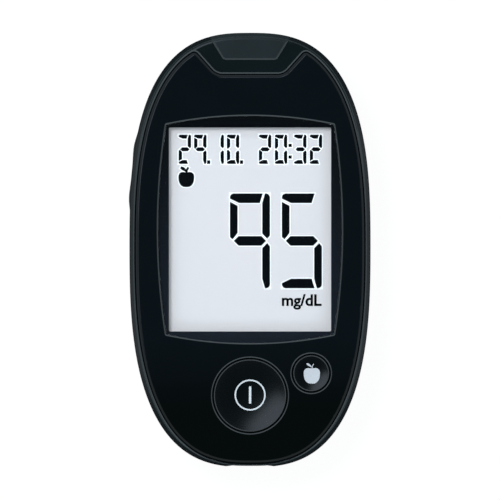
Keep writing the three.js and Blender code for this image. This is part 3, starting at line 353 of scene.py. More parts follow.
def outline_point(angle, inset, power=OUTLINE_POWER):
    """Where the outline, drawn in by inset, meets an angle of its superellipse."""
    across, along = cos(angle), sin(angle)
    x = (HALF_WIDTH - inset) * signed_power(across, 2 / power)
    return Vector((x, WIDEST_ROW + reach_along(along, inset) * signed_power(along, 2 / power), 0))


def signed_power(value, power):
    return copysign(abs(value) ** power, value)


def reach_along(along, inset=0):
    """How far the outline goes from its widest row, up where along is positive or else down."""
    return HALF_LENGTH - copysign(WIDEST_ROW, along) - inset


def rest_of(share):
    """The other share of a point on the outline, whose powers add up to one."""
    return (1 - share ** OUTLINE_POWER) ** (1 / OUTLINE_POWER)


def half_width_at(y):
    return HALF_WIDTH * rest_of(abs(y - WIDEST_ROW) / reach_along(y - WIDEST_ROW))


def bottom_end_at(x, inset):
    return WIDEST_ROW - reach_along(-1, inset) * rest_of(abs(x) / (HALF_WIDTH - inset))


def tidy(shape):
    """Merges doubles and points the faces of a closed shape outwards."""
    bmesh.ops.remove_doubles(shape, verts=shape.verts, dist=MERGE)
    bmesh.ops.recalc_face_normals(shape, faces=shape.faces)
    return shape


def turned(profile, x=0, y=0, steps=ROUND_STEPS):
    """Spins a profile of (radius, height) points, from axis to axis, about an upright axis."""
    shape = bmesh.new()
    points = [shape.verts.new((radius, 0, z)) for radius, z in profile]
    edges = [shape.edges.new(pair) for pair in zip(points, points[1:])]
    bmesh.ops.spin(shape, geom=points + edges, cent=(0, 0, 0), axis=(0, 0, 1), angle=2 * pi,
                   steps=steps, use_merge=True)
    bmesh.ops.translate(shape, vec=(x, y, 0), verts=shape.verts)
    return tidy(shape)


def outline_body(profile):
    """Spins a profile of (inset, height) points and draws each ring out onto the outline."""
    rings = [(HALF_WIDTH - inset, z) for inset, z in profile]
    shape = turned([(0, rings[0][1]), *rings, (0, rings[-1][1])], steps=OUTLINE_STEPS)
    for vert in shape.verts:
        radius = hypot(vert.co.x, vert.co.y)
        if radius < OVERRUN:
            vert.co.y = WIDEST_ROW
        else:
            place = outline_point(atan2(vert.co.y, vert.co.x), HALF_WIDTH - radius)
            vert.co.xy = place.xy
    return shape


def flat_shape(corners, low, high, segments=8):
    """A slab between two heights. Each corner is (x, y) or (x, y, radius)."""
    shape = bmesh.new()
    places = [Vector((corner[0], corner[1], low)) for corner in corners]
    verts = [shape.verts.new(place) for place in places]
    shape.faces.new(verts)
    for i, corner in enumerate(corners):
        if len(corner) == 3:
            back = places[i - 1] - places[i]
            ahead = places[(i + 1) % len(places)] - places[i]
            setback = corner[2] / tan(back.angle(ahead) / 2)
            bmesh.ops.bevel(shape, geom=[verts[i]], offset=setback, offset_type="OFFSET",
                            segments=segments, profile=0.5, affect="VERTICES", material=-1,
                            clamp_overlap=False)
    return raised(shape, high - low)


def raised(shape, height):
    """Gives flat faces a height and closes them."""
    grown = bmesh.ops.extrude_face_region(shape, geom=shape.faces[:], use_keep_orig=True)
    moved = [item for item in grown["geom"] if isinstance(item, bmesh.types.BMVert)]
    bmesh.ops.translate(shape, vec=(0, 0, height), verts=moved)
    return tidy(shape)


def rectangle(low_x, high_x, low_y, high_y, radius=None):
    corners = [(low_x, low_y), (high_x, low_y), (high_x, high_y), (low_x, high_y)]
    return corners if radius is None else [(x, y, radius) for x, y in corners]


def block(low_x, high_x, low_y, high_y, low_z, high_z):
    return flat_shape(rectangle(low_x, high_x, low_y, high_y), low_z, high_z)


def disc(radius, low, high, x=0, y=0):
    return turned([(0, low), (radius, low), (radius, high), (0, high)], x, y)


def laid_along_y(shape):
    """Turns a slab of (x, z) corners, made between two heights, so that its height runs along Y."""
    for vert in shape.verts:
        vert.co.y, vert.co.z = vert.co.z, vert.co.y
    return tidy(shape)


def as_mesh(name, shape):
    mesh = bpy.data.meshes.new(name)
    shape.to_mesh(mesh)
    shape.free()
    return mesh


def as_object(name, content):
    """Puts a mesh, a text or a lamp into the scene."""
    holder = bpy.data.objects.new(name, content)
    bpy.context.scene.collection.objects.link(holder)
    return holder


def as_shape(holder):
    """The shape of an object with its modifiers, or of a text."""
    mesh = bpy.data.meshes.new_from_object(
        holder.evaluated_get(bpy.context.evaluated_depsgraph_get()))
    shape = bmesh.new()
    shape.from_mesh(mesh)
    bpy.data.meshes.remove(mesh)
    return shape


def gathered(base, *shapes):
    """Several separate shapes in one."""
    for shape in shapes:
        mesh = as_mesh("blank", shape)
        base.from_mesh(mesh)
        bpy.data.meshes.remove(mesh)
    return base


def combined(operation, base, *tools):
    """Joins tools to base, cuts them away or keeps what is common."""
    blanks = [as_object("blank", as_mesh("blank", shape)) for shape in (base, *tools)]
    for blank in blanks[1:]:
        step = blanks[0].modifiers.new("step", "BOOLEAN")
        step.operation = operation
        step.solver = "EXACT"
        step.object = blank
    result = as_shape(blanks[0])
    for blank in blanks:
        bpy.data.meshes.remove(blank.data)
    return result


def sharp_edges(shape, keep, least=50):
    """The edges that turn by least degrees or more and whose middle passes keep."""
    return [
        edge for edge in shape.edges
        if edge.is_manifold and edge.calc_face_angle(0) > radians(least)
        and keep((edge.verts[0].co + edge.verts[1].co) / 2)
    ]


def rounded(shape, edges, size, segments=3):
    """Rounds edges, or chamfers them where segments is 1."""
    bmesh.ops.bevel(shape, geom=edges, offset=size, offset_type="OFFSET", segments=segments,
                    profile=0.5, affect="EDGES", material=-1, clamp_overlap=False)


def chamfered(plan, grown, width, top):
    """What a cut takes from a top face, with a chamfer that widens the plan by width there."""
    shape = plan(grown + width, 0, 2 * width)
    rounded(shape, sharp_edges(shape, lambda middle: middle.z < width / 2), width, 1)
    for vert in shape.verts:
        vert.co.z = top + (vert.co.z - width) * CHAMFER_FALL
    return shape


def sliced(shape, axis, half_length, spacing):
    """Cuts the faces along planes across an axis, so that they can follow a curve."""
    place = spacing - half_length
    while place < half_length:
        bmesh.ops.bisect_plane(shape, geom=shape.verts[:] + shape.edges[:] + shape.faces[:],
                               plane_co=place * axis, plane_no=axis)
        place += spacing


def finished(name, shape, nodes, slot, bevel=0, crease=CREASE, body="case", finish=None):
    """Makes a shape a piece, in metres, that stands for nodes, has a slot's finish or its own, and
    rides on a body."""
    bmesh.ops.scale(shape, vec=(MM, MM, MM), verts=shape.verts)
    mesh = as_mesh(name, shape)
    mesh.shade_smooth()
    mesh.set_sharp_from_angle(angle=radians(crease))
    mesh.materials.append(MATERIALS[finish or SLOT_FINISHES[slot]])
    piece = as_object(name, mesh)
    if bevel:
        edge = piece.modifiers.new("edge", "BEVEL")
        edge.width = bevel * MM
        edge.segments = 3
        edge.limit_method = "ANGLE"
        edge.angle_limit = radians(crease)
    even = piece.modifiers.new("even", "WEIGHTED_NORMAL")
    even.keep_sharp = True
    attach(piece, body)
    if nodes:
        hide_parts(*nodes)


# Materials


def linear(colour):
    """An sRGB hex value as linear colour."""
    parts = [(colour >> shift & 255) / 255 for shift in (16, 8, 0)]
    return (*[p / 12.92 if p <= 0.04045 else ((p + 0.055) / 1.055) ** 2.4 for p in parts], 1)


def add_node(tree, kind, settings=None, links=None, stops=()):
    """Adds a node, gives its properties, sockets and colour stops their values, and links its
    sockets to other sockets, or to the first one of another node."""
    node = tree.nodes.new("ShaderNode" + kind)
    for name, value in (settings or {}).items():
        if isinstance(name, int) or name in node.inputs:
            node.inputs[name].default_value = value
        else:
            setattr(node, name, value)
    for name, source in (links or {}).items():
        if isinstance(source, bpy.types.Node):
            source = source.outputs[0]
        tree.links.new(source, node.inputs[name])
    for _ in stops[2:]:
        node.color_ramp.elements.new(1)
    for i, (place, colour) in enumerate(stops):
        node.color_ramp.elements[i].position = place
        node.color_ramp.elements[i].color = colour
    return node


def cleared(holder):
    """The empty node tree of a new material or world."""
    holder.use_nodes = True
    holder.node_tree.nodes.clear()
    return holder.node_tree


def new_material(name, make, *details):
    """A material whose shader make adds to its tree."""
    material = bpy.data.materials.new(name)
    tree = cleared(material)
    add_node(tree, "OutputMaterial", links={"Surface": make(tree, *details)})
    return material


def along_piece(tree, place, start, end):
    """A share that goes from 0 at one Y to 1 at another."""
    parts = add_node(tree, "SeparateXYZ", links={0: place})
    return add_node(tree, "MapRange", {"From Min": start * MM, "From Max": end * MM},
                    {"Value": parts.outputs["Y"]})


def any_ray(tree, *kinds):
    """Is 1 for rays of these kinds and 0 for others."""
    rays = add_node(tree, "LightPath")
    found = rays.outputs[kinds[0]]
    for kind in kinds[1:]:
        found = add_node(tree, "Math", {"operation": "MAXIMUM"}, {0: found, 1: rays.outputs[kind]})
    return found


def moulded_plastic(tree, colour, lighter, roughness, grain, depth, shine=0.5, foot=None):
    """Injection-moulded plastic: a slightly uneven colour over a grain of a real size. A foot is
    its colour towards the bottom end, a painted shade."""
    place = add_node(tree, "TexCoord").outputs["Object"]
    cloud = add_node(tree, "TexNoise", {"Scale": 1 / (CLOUD * MM), "Detail": 3.0},
                     {"Vector": place})
    fine = add_node(tree, "TexNoise", {"Scale": 1 / (grain * MM), "Detail": 2.0},
                    {"Vector": place})
    tint = add_node(tree, "ValToRGB", links={"Fac": cloud},
                    stops=[(0.3, linear(colour)), (0.75, linear(lighter))])
    # The foot is painted shade: the colour darkens towards the bottom end
    if foot is not None:
        tint = add_node(tree, "MixRGB", {"Color2": linear(foot)}, {
            "Fac": along_piece(tree, place, PAINTED_SHADE_START, PAINTED_SHADE_END), "Color1": tint,
        })
    bump = add_node(tree, "Bump", {"Strength": 1.0, "Distance": depth * MM}, {"Height": fine})
    gloss = add_node(tree, "MapRange", {"To Min": roughness * 0.9, "To Max": roughness * 1.1},
                     {"Value": cloud})
    return add_node(tree, "BsdfPrincipled", {"Specular IOR Level": shine},
                    {"Base Color": tint, "Roughness": gloss, "Normal": bump})


def rolled_metal(tree, colour, roughness, brush):
    """Plated or bare sheet metal with the fine marks of the rolling along X."""
    place = add_node(tree, "TexCoord").outputs["Object"]
    along = add_node(tree, "Mapping", {"Scale": (1, 12, 12)}, {"Vector": place})
    marks = add_node(tree, "TexNoise", {"Scale": 1 / (brush * MM), "Detail": 4.0},
                     {"Vector": along})
    gloss = add_node(tree, "MapRange", {"To Min": roughness * 0.8, "To Max": roughness * 1.3},
                     {"Value": marks})
    bump = add_node(tree, "Bump", {"Strength": 0.3, "Distance": 0.01 * MM}, {"Height": marks})
    return add_node(tree, "BsdfPrincipled", {"Base Color": linear(colour), "Metallic": 1.0},
                    {"Roughness": gloss, "Normal": bump})


def clear_plastic(tree):
    """Clear acrylic that rays to the lamps pass straight through, as they nearly do."""
    glass = add_node(tree, "BsdfPrincipled", {
        "Base Color": linear(0xffffff), "Roughness": 0.02, "IOR": 1.49, "Transmission Weight": 1.0,
    })
    clear = add_node(tree, "BsdfTransparent", {"Color": linear(0xffffff)})
    return add_node(tree, "MixShader", links={
        0: any_ray(tree, "Is Shadow Ray", "Is Diffuse Ray"), 1: glass, 2: clear,
    })


def painted_glow_film(tree, middle, edge):
    """A film with a faint painted glow, painted a little brighter towards the middle of the
    display.
    """
    place = add_node(tree, "TexCoord").outputs["Object"]
    height = VIEW_TOP - VIEW_BOTTOM
    centred = add_node(tree, "Mapping", {
        "Location": (0, -VIEW_MIDDLE / height, 0),
        "Scale": (1 / (2 * VIEW_HALF_WIDTH * MM), 1 / (height * MM), 0),
    }, {"Vector": place})
    away = add_node(tree, "VectorMath", {"operation": "LENGTH"}, {0: centred})
    tint = add_node(tree, "ValToRGB", links={"Fac": away.outputs["Value"]},
                    stops=[(0.1, linear(middle)), (0.75, linear(edge))])
    # The faint emission is a painted glow, and the lighter middle is painted light
    return add_node(tree, "BsdfPrincipled", {
        "Roughness": 0.35, "Specular IOR Level": 0.2, "Emission Strength": 0.15,
    }, {"Base Color": tint, "Emission Color": tint})


def printed_ink(tree, colour, roughness=0.45, glow=0.0, shine=0.5, upper=None):
    """Printed or etched marks of slightly uneven gloss, in another colour further up, a fade that
    paints a reflection.
    """
    place = add_node(tree, "TexCoord").outputs["Object"]
    ink = add_node(tree, "TexNoise", {"Scale": 1 / (INK_GRAIN * MM), "Detail": 2.0},
                   {"Vector": place})
    gloss = add_node(tree, "MapRange", {"To Min": roughness * 0.85, "To Max": roughness * 1.15},
                     {"Value": ink})
    links = {"Roughness": gloss}
    # The fade to the colour further up is a painted reflection that greys the mask towards the
    # bottom
    if upper is not None:
        links["Base Color"] = add_node(
            tree, "ValToRGB", links={"Fac": along_piece(tree, place, VIEW_BOTTOM, VIEW_TOP)},
            stops=[(0, linear(colour)), (1, linear(upper))])
    return add_node(tree, "BsdfPrincipled", {
        "Base Color": linear(colour), "Emission Color": linear(colour),
        "Emission Strength": glow, "Specular IOR Level": shine,
    }, links)


def woven_board(tree, colour, lighter, darker):
    """Glass cloth under green solder resist."""
    place = add_node(tree, "TexCoord").outputs["Object"]
    weave = add_node(tree, "TexBrick", {
        "Scale": 1 / (WEAVE * MM), "Color1": linear(colour), "Color2": linear(lighter),
        "Mortar": linear(darker), "Mortar Size": 0.04,
    }, {"Vector": place})
    return add_node(tree, "BsdfPrincipled", {"Roughness": 0.38}, {"Base Color": weave})


# Sizes of the patterns: colour clouds in a moulding, grain of the ink and squares of the glass
# cloth, which are drawn coarser than they are so that they show
CLOUD = 9
INK_GRAIN = 0.3
WEAVE = 2

# Each finish, under what it is: how its surface was made, and what that gives the eye
MATERIALS = {}
for make, recipes in (
    # Colour, lighter colour, roughness, width and depth of the grain, shine and foot, a painted
    # shade towards the bottom end
    (moulded_plastic, {
        # Eroded mould: a dull, finely grained black that scatters every highlight
        "textured_abs": (0x131618, 0x181c1e, 0.55, 0.25, 0.02),
        # Fine-ground mould: its rim mirrors the room as soft-edged pale lines
        "satin_abs": (0x0b1315, 0x0d1618, 0.12, 0.12, 0.001, 0.45),
        # Polished mould: deep, wet-looking black with sharp reflections, and a painted shade that
        # darkens it towards the bottom end
        "polished_acrylic": (0x080e12, 0x091014, 0.05, 2.0, 0.0005, 0.45, 0x020504),
        # Polished mould: black caps that spread one highlight widely
        "polished_abs": (0x020506, 0x030708, 0.21, 1.5, 0.0005),
        # Matt mould for the thumb: an even, soft dark grey
        "key_abs": (0x0b0d0f, 0x101315, 0.4, 0.15, 0.005),
        # Fine-ground mould: a flat dark grey against the black case
        "port_abs": (0x212729, 0x252c2e, 0.2, 0.15, 0.003, 0.27),
        # Moulded and filled white: plain, milky and half matt
        "white_polycarbonate": (0xdedfdc, 0xe8e9e6, 0.5, 0.2, 0.005),
        # Moulded opal: a smooth, cool white
        "milky_acrylic": (0xe4eaec, 0xeef2f3, 0.25, 1.0, 0.001),
        # Die-cut from a sheet: dead black with tiny pits
        "closed_foam": (0x1b1d1f, 0x26282a, 0.9, 0.3, 0.05),
        # Extruded in conducting layers: dull pale grey
        "layered_rubber": (0xaeb2b5, 0xc0c4c7, 0.7, 0.2, 0.01),
        # Moulded round the chip: matt black with a sandy surface
        "chip_epoxy": (0x161618, 0x1d1d1f, 0.55, 0.1, 0.008),
    }),
    # Colour, roughness and width of the marks
    (rolled_metal, {
        # Stamped from bare sheet: bright, with fine rolling marks
        "spring_steel": (0xc8cacc, 0.28, 0.2),
        # Plated over steel: a warm, clean silver
        "nickel_plate": (0xbdbdb9, 0.25, 0.3),
        # Plated over bronze: small bright yellow glints
        "gold_plate": (0xcaa24c, 0.28, 0.3),
        # Plated over steel: a duller, bluish grey
        "zinc_plate": (0xa9adb1, 0.35, 0.2),
    }),
    # Colour, roughness, glow, which is painted light, shine and the colour further up, whose fade
    # is a painted reflection
    (printed_ink, {
        # Screen-printed behind the window: matt black, with a painted reflection that makes it
        # greyer towards the bottom
        "screen_print": (0x1b2028, 0.5, 0.0, 0.0, 0x010306),
        # Pad-printed: crisp and bright on the black key
        "white_ink": (0xe0e4e7,),
        # Pad-printed more thinly: a shade greyer
        "grey_ink": (0xd0d3d8,),
        # Etched cells that are switched on: flat, dense black with no shine
        "crystal_black": (0x010306, 0.4, 0.0, 0.0),
        # Cells beside them that are off: a thin line a little paler than the display, with a
        # painted glow
        "bare_cell": (0xf2f5f7, 0.35, 0.3),
    }),
    # Cut from hard-coated sheet: seen only by its edge and a faint sheen
    (clear_plastic, {"clear_acrylic": ()}),
    # Laminated polariser: a pale, even grey with a faint painted glow in place of light
    (painted_glow_film, {"display_film": (0xe2dee0, 0xdfdddf)}),
    # Pressed glass cloth under solder resist: green with a faint pattern of squares
    (woven_board, {"circuit_laminate": (0x1c5a38, 0x205f3d, 0x174c2f)}),
):
    for name, recipe in recipes.items():
        MATERIALS[name] = new_material(name, make, *recipe)
SLOT_FINISHES = {
    "back_abs": "textured_abs", "housing_abs": "satin_abs", "panel_gloss": "polished_acrylic",
    "button_gloss": "polished_abs", "rocker_plastic": "key_abs", "port_plastic": "port_abs",
    "window_clear": "clear_acrylic", "mask_print": "screen_print",
    "display_glass": "milky_acrylic", "polariser_film": "display_film",
    "light_guide_acrylic": "milky_acrylic", "white_plastic": "white_polycarbonate",
    "foam": "closed_foam", "contact_rubber": "layered_rubber",
    "board_laminate": "circuit_laminate", "chip_resin": "chip_epoxy",
    "dome_steel": "spring_steel", "socket_nickel": "nickel_plate",
    "cell_nickel": "nickel_plate", "contact_gold": "gold_plate", "screw_zinc": "zinc_plate",
}
for subpart in frame["record"]["subparts"]:
    finish_list = frame["nodes"][subpart["node"]].data.materials
    finish_list.clear()
    finish_list.append(MATERIALS[SLOT_FINISHES[subpart["material_slot"]]])


# Case


def back_round(offset, floor):
    """Quarter of an ellipse from the flat back up into the side, as (inset, height) points."""
    turns = [step / ARC_STEPS * pi / 2 for step in range(ARC_STEPS + 1)]
    inset, rise = BACK_ROUND_INSET - offset, BACK_ROUND_RISE - floor
    return [(offset + inset * (1 - sin(turn)), floor + rise * (1 - cos(turn))) for turn in turns]


def rim(lift):
    """The way from the side over onto the shelf, as (inset, height) points."""
    return [(inset, SHELF + lift - drop) for inset, drop in RIM_SLOPE]


def rim_drop(inset):
    """How far the top lies under the shelf at an inset."""
    for (near, high), (far, low) in zip(RIM_SLOPE, RIM_SLOPE[1:]):
        if inset < far:
            return high + (low - high) * max(inset - near, 0) / (far - near)
    return 0


def inset_at(x, y):
    """How far inside the outline a place lies."""
    low, high = 0, HALF_WIDTH / 2
    for _ in range(HALVINGS):
        inset = (low + high) / 2
        across = abs(x) / (HALF_WIDTH - inset)
        along = abs(y - WIDEST_ROW) / reach_along(y - WIDEST_ROW, inset)
        if across ** OUTLINE_POWER + along ** OUTLINE_POWER < 1:
            low = inset
        else:
            high = inset
    return low


def notch():
    """What the shallow notch takes from the bottom end."""
    floor = bottom_end_at(NOTCH_HALF_WIDTH, NOTCH_DEPTH)
    brink = bottom_end_at(NOTCH_HALF_WIDTH + NOTCH_BLEND, 0)
    low_y = -HALF_LENGTH - OVERRUN
    low_half_width = NOTCH_HALF_WIDTH + NOTCH_BLEND / (floor - brink) * (floor - low_y)
    wedge = flat_shape([
        (-low_half_width, low_y), (low_half_width, low_y), (NOTCH_HALF_WIDTH, floor),
        (NOTCH_HALF_WIDTH, floor + OVERRUN), (-NOTCH_HALF_WIDTH, floor + OVERRUN),
        (-NOTCH_HALF_WIDTH, floor),
    ], -OVERRUN, panel_high.z + OVERRUN)
    core = outline_body([(NOTCH_DEPTH, -2 * OVERRUN), (NOTCH_DEPTH, panel_high.z + 2 * OVERRUN)])
    return combined("DIFFERENCE", wedge, core)


def socket_block(grown, low_y, high_y):
    """A block with the socket's rounded section, grown all round."""
    plan = rectangle(socket_low.x - grown, socket_high.x + grown, socket_low.z - grown,
                     socket_high.z + grown, SOCKET_CORNER + grown)
    return laid_along_y(flat_shape(plan, low_y, high_y))


def socket_opening():
    return socket_block(GAP, -HALF_LENGTH - OVERRUN, socket_high.y)


def insert_wedge(grown, low, high):
    end = HALF_LENGTH
    base = end - INSERT_DEPTH - grown
    half_base, half_mouth = INSERT_BASE_HALF_WIDTH + grown, INSERT_MOUTH_HALF_WIDTH + grown
    half_end = half_mouth + (half_mouth - half_base) / (end - base) * OVERRUN
    return flat_shape([
        (-half_base, base, INSERT_CORNER + grown), (half_base, base, INSERT_CORNER + grown),
        (half_end, end + OVERRUN), (-half_end, end + OVERRUN),
    ], low, high)


def bay_cuts():
    low_y, high_y = BAY_MIDDLE_Y - BAY_HALF_LENGTH, BAY_MIDDLE_Y + BAY_HALF_LENGTH
    hinge = high_y + DOOR_LEDGE
    opening = rectangle(-BAY_HALF_WIDTH - DOOR_LEDGE, BAY_HALF_WIDTH + DOOR_LEDGE,
                        low_y - DOOR_LEDGE, hinge, DOOR_CORNER)
    half_latch = LATCH_WIDTH / 2 + GAP
    cuts = [
        block(-BAY_HALF_WIDTH, BAY_HALF_WIDTH, low_y, high_y, -OVERRUN, BAY_ROOF_BOTTOM),
        flat_shape(opening, -OVERRUN, DOOR_TOP + GAP),
        disc(SCOOP_RADIUS, -OVERRUN, SCOOP_DEPTH, 0, low_y - DOOR_LEDGE),
        block(-half_latch, half_latch, low_y - DOOR_LEDGE, low_y + OVERRUN, 0, door_high.z + GAP),
    ]
    top = BAY_ROOF_BOTTOM - (BAY_ROOF_TOP - BAY_ROOF_BOTTOM)
    for side in (-1, 1):
        left = side * TONGUE_SPACING / 2 - TONGUE_WIDTH / 2 - GAP
        right = left + TONGUE_WIDTH + 2 * GAP
        cuts.append(block(left, right, hinge - TONGUE_LEG - 2 * GAP, hinge, DOOR_TOP, top))
        cuts.append(block(left, right, hinge - GAP, high_y + BAY_WALL + OVERRUN, BACK_WALL, top))
    for node in ("negative_contact", "positive_contact"):
        low, high = node_box(node)
        x = high.x if node == "negative_contact" else low.x + CONTACT_ROOM
        y = low.y if node == "negative_contact" else high.y
        cuts.append(block(low.x - GAP, x + GAP, low.y - GAP, y + GAP + CONTACT_ROOM,
                          BAY_ROOF_BOTTOM - OVERRUN, BAY_ROOF_TOP + OVERRUN))
    return cuts


def rear_case_half():
    shell = outline_body([
        *back_round(0, 0),
        (0, SEAM - SEAM_EDGE),
        (SEAM_EDGE, SEAM),
        (LIP_INSET, SEAM),
        (LIP_INSET, SEAM + LIP_HEIGHT),
        (WALL, SEAM + LIP_HEIGHT),
        *reversed(back_round(WALL, BACK_WALL)),
    ])
    bay = block(-BAY_HALF_WIDTH - BAY_WALL, BAY_HALF_WIDTH + BAY_WALL,
                BAY_MIDDLE_Y - BAY_HALF_LENGTH - BAY_WALL,
                BAY_MIDDLE_Y + BAY_HALF_LENGTH + BAY_WALL, DOOR_TOP, BAY_ROOF_TOP)
    places = [centre_of(node) for node in SCREW_NODES]
    posts = [disc(POST_RADIUS, DOOR_TOP, POST_TOP, x, y) for x, y in places]
    wells = [disc(SCREW_RECESS_RADIUS, -OVERRUN, SCREW_SHELF_BOTTOM, x, y) for x, y in places]
    shanks = [disc(SCREW_HOLE_RADIUS, 0, POST_TOP + OVERRUN, x, y) for x, y in places]
    body = combined("UNION", shell, bay, *posts)
    body = combined("DIFFERENCE", body, *bay_cuts(), *wells, *shanks, socket_opening(), notch(),
                    insert_wedge(INSERT_GAP, SEAM, SEAM + LIP_HEIGHT + OVERRUN))
    finished("rear_case_half", body, ["rear_shell"], "back_abs", MOULD_EDGE)


def panel_point(angle, inset):
    """A place on the panel's own outline, which lies lower towards the bottom end."""
    point = outline_point(angle, inset, PANEL_POWER)
    point.y -= PANEL_DROP * (0.5 - point.y / (2 * HALF_LENGTH))
    return point


def panel_plan(grown, low, high):
    """The panel's plan: the outline inside the rim, with the valley between its two ears."""
    inset = PANEL_INSET - grown
    ear_x = EAR_HALF_WIDTH - EAR_SHIFT * grown
    ear_angle = acos((ear_x / (HALF_WIDTH - inset)) ** (PANEL_POWER / 2))
    ear = panel_point(ear_angle, inset)
    corners = []
    for step in range(1, OUTLINE_STEPS):
        turn = step / OUTLINE_STEPS * (pi + 2 * ear_angle)
        point = panel_point(pi - ear_angle + turn, inset)
        if hypot(abs(point.x) - ear.x, point.y - ear.y) > EAR_CLEARANCE:
            corners.append((point.x, point.y))
    valley_x = VALLEY_HALF_WIDTH - VALLEY_SHIFT * grown
    valley_y = HALF_LENGTH - VALLEY_DEPTH + grown
    corners.extend([
        (ear.x, ear.y, EAR_ROUND + grown), (valley_x, valley_y, VALLEY_ROUND - grown),
        (-valley_x, valley_y, VALLEY_ROUND - grown), (-ear.x, ear.y, EAR_ROUND + grown),
    ])
    return flat_shape(corners, low, high)


def barrel(grown, low, high):
    """The plan of the window: four bowed sides between softened corners."""
    half_width, half_height = WINDOW_HALF_WIDTH + grown, WINDOW_HALF_HEIGHT + grown
    corners = []
    for quarter in range(4):
        side = 1 if quarter < 2 else -1
        for step in range(BOW_STEPS):
            share = step / BOW_STEPS
            along, bow = 2 * share - 1, 4 * share * (1 - share)
            if quarter % 2:
                x, y = half_width + WINDOW_SIDE_BULGE * bow, half_height * along
            else:
                x, y = half_width * along, -half_height - WINDOW_END_BULGE * bow
            radius = [] if step else [WINDOW_CORNER + grown]
            corners.append((side * x, VIEW_MIDDLE + side * y, *radius))
    return flat_shape(corners, low, high)


def view_area(margin, low, high, radius=None):
    half_width = VIEW_HALF_WIDTH + margin
    plan = rectangle(-half_width, half_width, VIEW_BOTTOM - margin, VIEW_TOP + margin, radius)
    return flat_shape(plan, low, high)


def wall_band(half_length, inner_inset, outer_inset_at, low, high):
    """A slab that follows the left wall beside the rocker."""
    shares = [2 * step / BAND_STEPS - 1 for step in range(BAND_STEPS + 1)]
    rows = [(ROCKER_MIDDLE_Y + share * half_length, share) for share in shares]
    outer = [(outer_inset_at(share) - half_width_at(y), y) for y, share in rows]
    inner = [(inner_inset - half_width_at(y), y) for y, share in reversed(rows)]
    return flat_shape(outer + inner, low, high)


def shelf_edge():
    """The chamfer cut round the panel's opening, which follows the slope of the rim."""
    edge = chamfered(panel_plan, PANEL_GAP, RIM_EDGE, SHELF)
    for vert in edge.verts:
        inset = inset_at(vert.co.x, vert.co.y)
        vert.co.z -= rim_drop(inset if vert.co.z > SHELF - NEAR else inset - RIM_EDGE)
    return edge


def upper_case_half():
    shell = outline_body([
        (WALL, DECK_BOTTOM),
        (WALL, SEAM + LIP_HEIGHT + GAP),
        (LIP_INSET - GAP, SEAM + LIP_HEIGHT + GAP),
        (LIP_INSET - GAP, SEAM + GAP),
        (SEAM_EDGE, SEAM + GAP),
        (0, SEAM + GAP + SEAM_EDGE),
        *rim(0),
    ])
    slot_half_height = ROCKER_HEIGHT / 2 + GAP
    body = combined(
        "DIFFERENCE", shell,
        panel_plan(PANEL_GAP, DECK_TOP, panel_high.z + OVERRUN),
        shelf_edge(),
        view_area(DECK_VIEW_MARGIN, DECK_BOTTOM - OVERRUN, DECK_TOP + OVERRUN),
        *[disc(radius + BUTTON_GAP, DECK_BOTTOM - OVERRUN, panel_high.z, x, y)
          for radius, x, y in KEYS.values()],
        insert_wedge(INSERT_GAP, SEAM, panel_high.z + OVERRUN),
        socket_opening(),
        notch(),
        wall_band(ROCKER_LENGTH / 2 + GAP, WALL + OVERRUN, lambda share: -OVERRUN,
                  ROCKER_Z - slot_half_height, ROCKER_Z + slot_half_height),
    )
    finished("upper_case_half", body, ["upper_housing"], "housing_abs", CRISP_EDGE, FINE_CREASE)


def hole_cutter(cap_radius, x, y):
    """What a button hole takes from the panel, with its small chamfer."""
    radius, top, low = cap_radius + BUTTON_GAP, panel_high.z, panel_low.z - OVERRUN
    return turned([
        (0, low), (radius, low), (radius, top - HOLE_EDGE * CHAMFER_FALL),
        (radius + HOLE_EDGE, top), (radius + HOLE_EDGE, top + OVERRUN), (0, top + OVERRUN),
    ], x, y)


def panel():
    body = panel_plan(0, panel_low.z, panel_high.z)
    top_edges = sharp_edges(body, lambda middle: middle.z > panel_high.z - NEAR)
    rounded(body, top_edges, PANEL_ROUND, PANEL_ROUND_STEPS)
    for vert in body.verts:
        share = 1 - (panel_high.z - vert.co.z) / PANEL_ROUND
        if -MERGE < share < 1 - MERGE:
            across = sqrt(1 - share ** 2)
            slope = BAND_START + (BAND_END - BAND_START) / 2 * across
            steep = max(across - BAND_EDGE_SHARE, 0) / (1 - BAND_EDGE_SHARE)
            vert.co.z = panel_high.z - PANEL_ROUND * across * slope - BAND_EDGE_DROP * steep
    opening = -WINDOW_SETBACK
    body = combined("DIFFERENCE", body,
                    barrel(opening, panel_low.z - OVERRUN, panel_high.z + OVERRUN),
                    chamfered(barrel, opening, PANEL_EDGE, panel_high.z),
                    *[hole_cutter(*key) for key in KEYS.values()])
    sliced(body, ACROSS, HALF_WIDTH, PANEL_SLICE)
    sliced(body, ALONG, HALF_LENGTH, PANEL_LONG_SLICE)
    for vert in body.verts:
        if vert.co.z > panel_low.z + NEAR:
            vert.co.z -= PANEL_CROWN * (vert.co.x / HALF_WIDTH) ** 2
            vert.co.z -= PANEL_END_CROWN * (vert.co.y / HALF_LENGTH) ** PANEL_END_POWER
    finished("gloss_panel", body, ["front_panel"], "panel_gloss", POLISHED_EDGE, FINE_CREASE)


# Display


def window():
    body = barrel(-WINDOW_SETBACK - WINDOW_SEAM, window_low.z, window_high.z)
    top_edges = sharp_edges(body, lambda middle: middle.z > window_high.z - NEAR)
    rounded(body, top_edges, WINDOW_EDGE)
    finished("clear_window", body, ["display_window"], "window_clear")


def mask():
    body = combined("DIFFERENCE", barrel(-WINDOW_SETBACK - WINDOW_SEAM, mask_low.z, mask_high.z),
                    view_area(0, mask_low.z - OVERRUN, mask_high.z + OVERRUN, VIEW_CORNER))
    sliced(body, ACROSS, HALF_WIDTH, PANEL_SLICE)
    finished("printed_mask", body, ["window_mask"], "mask_print")


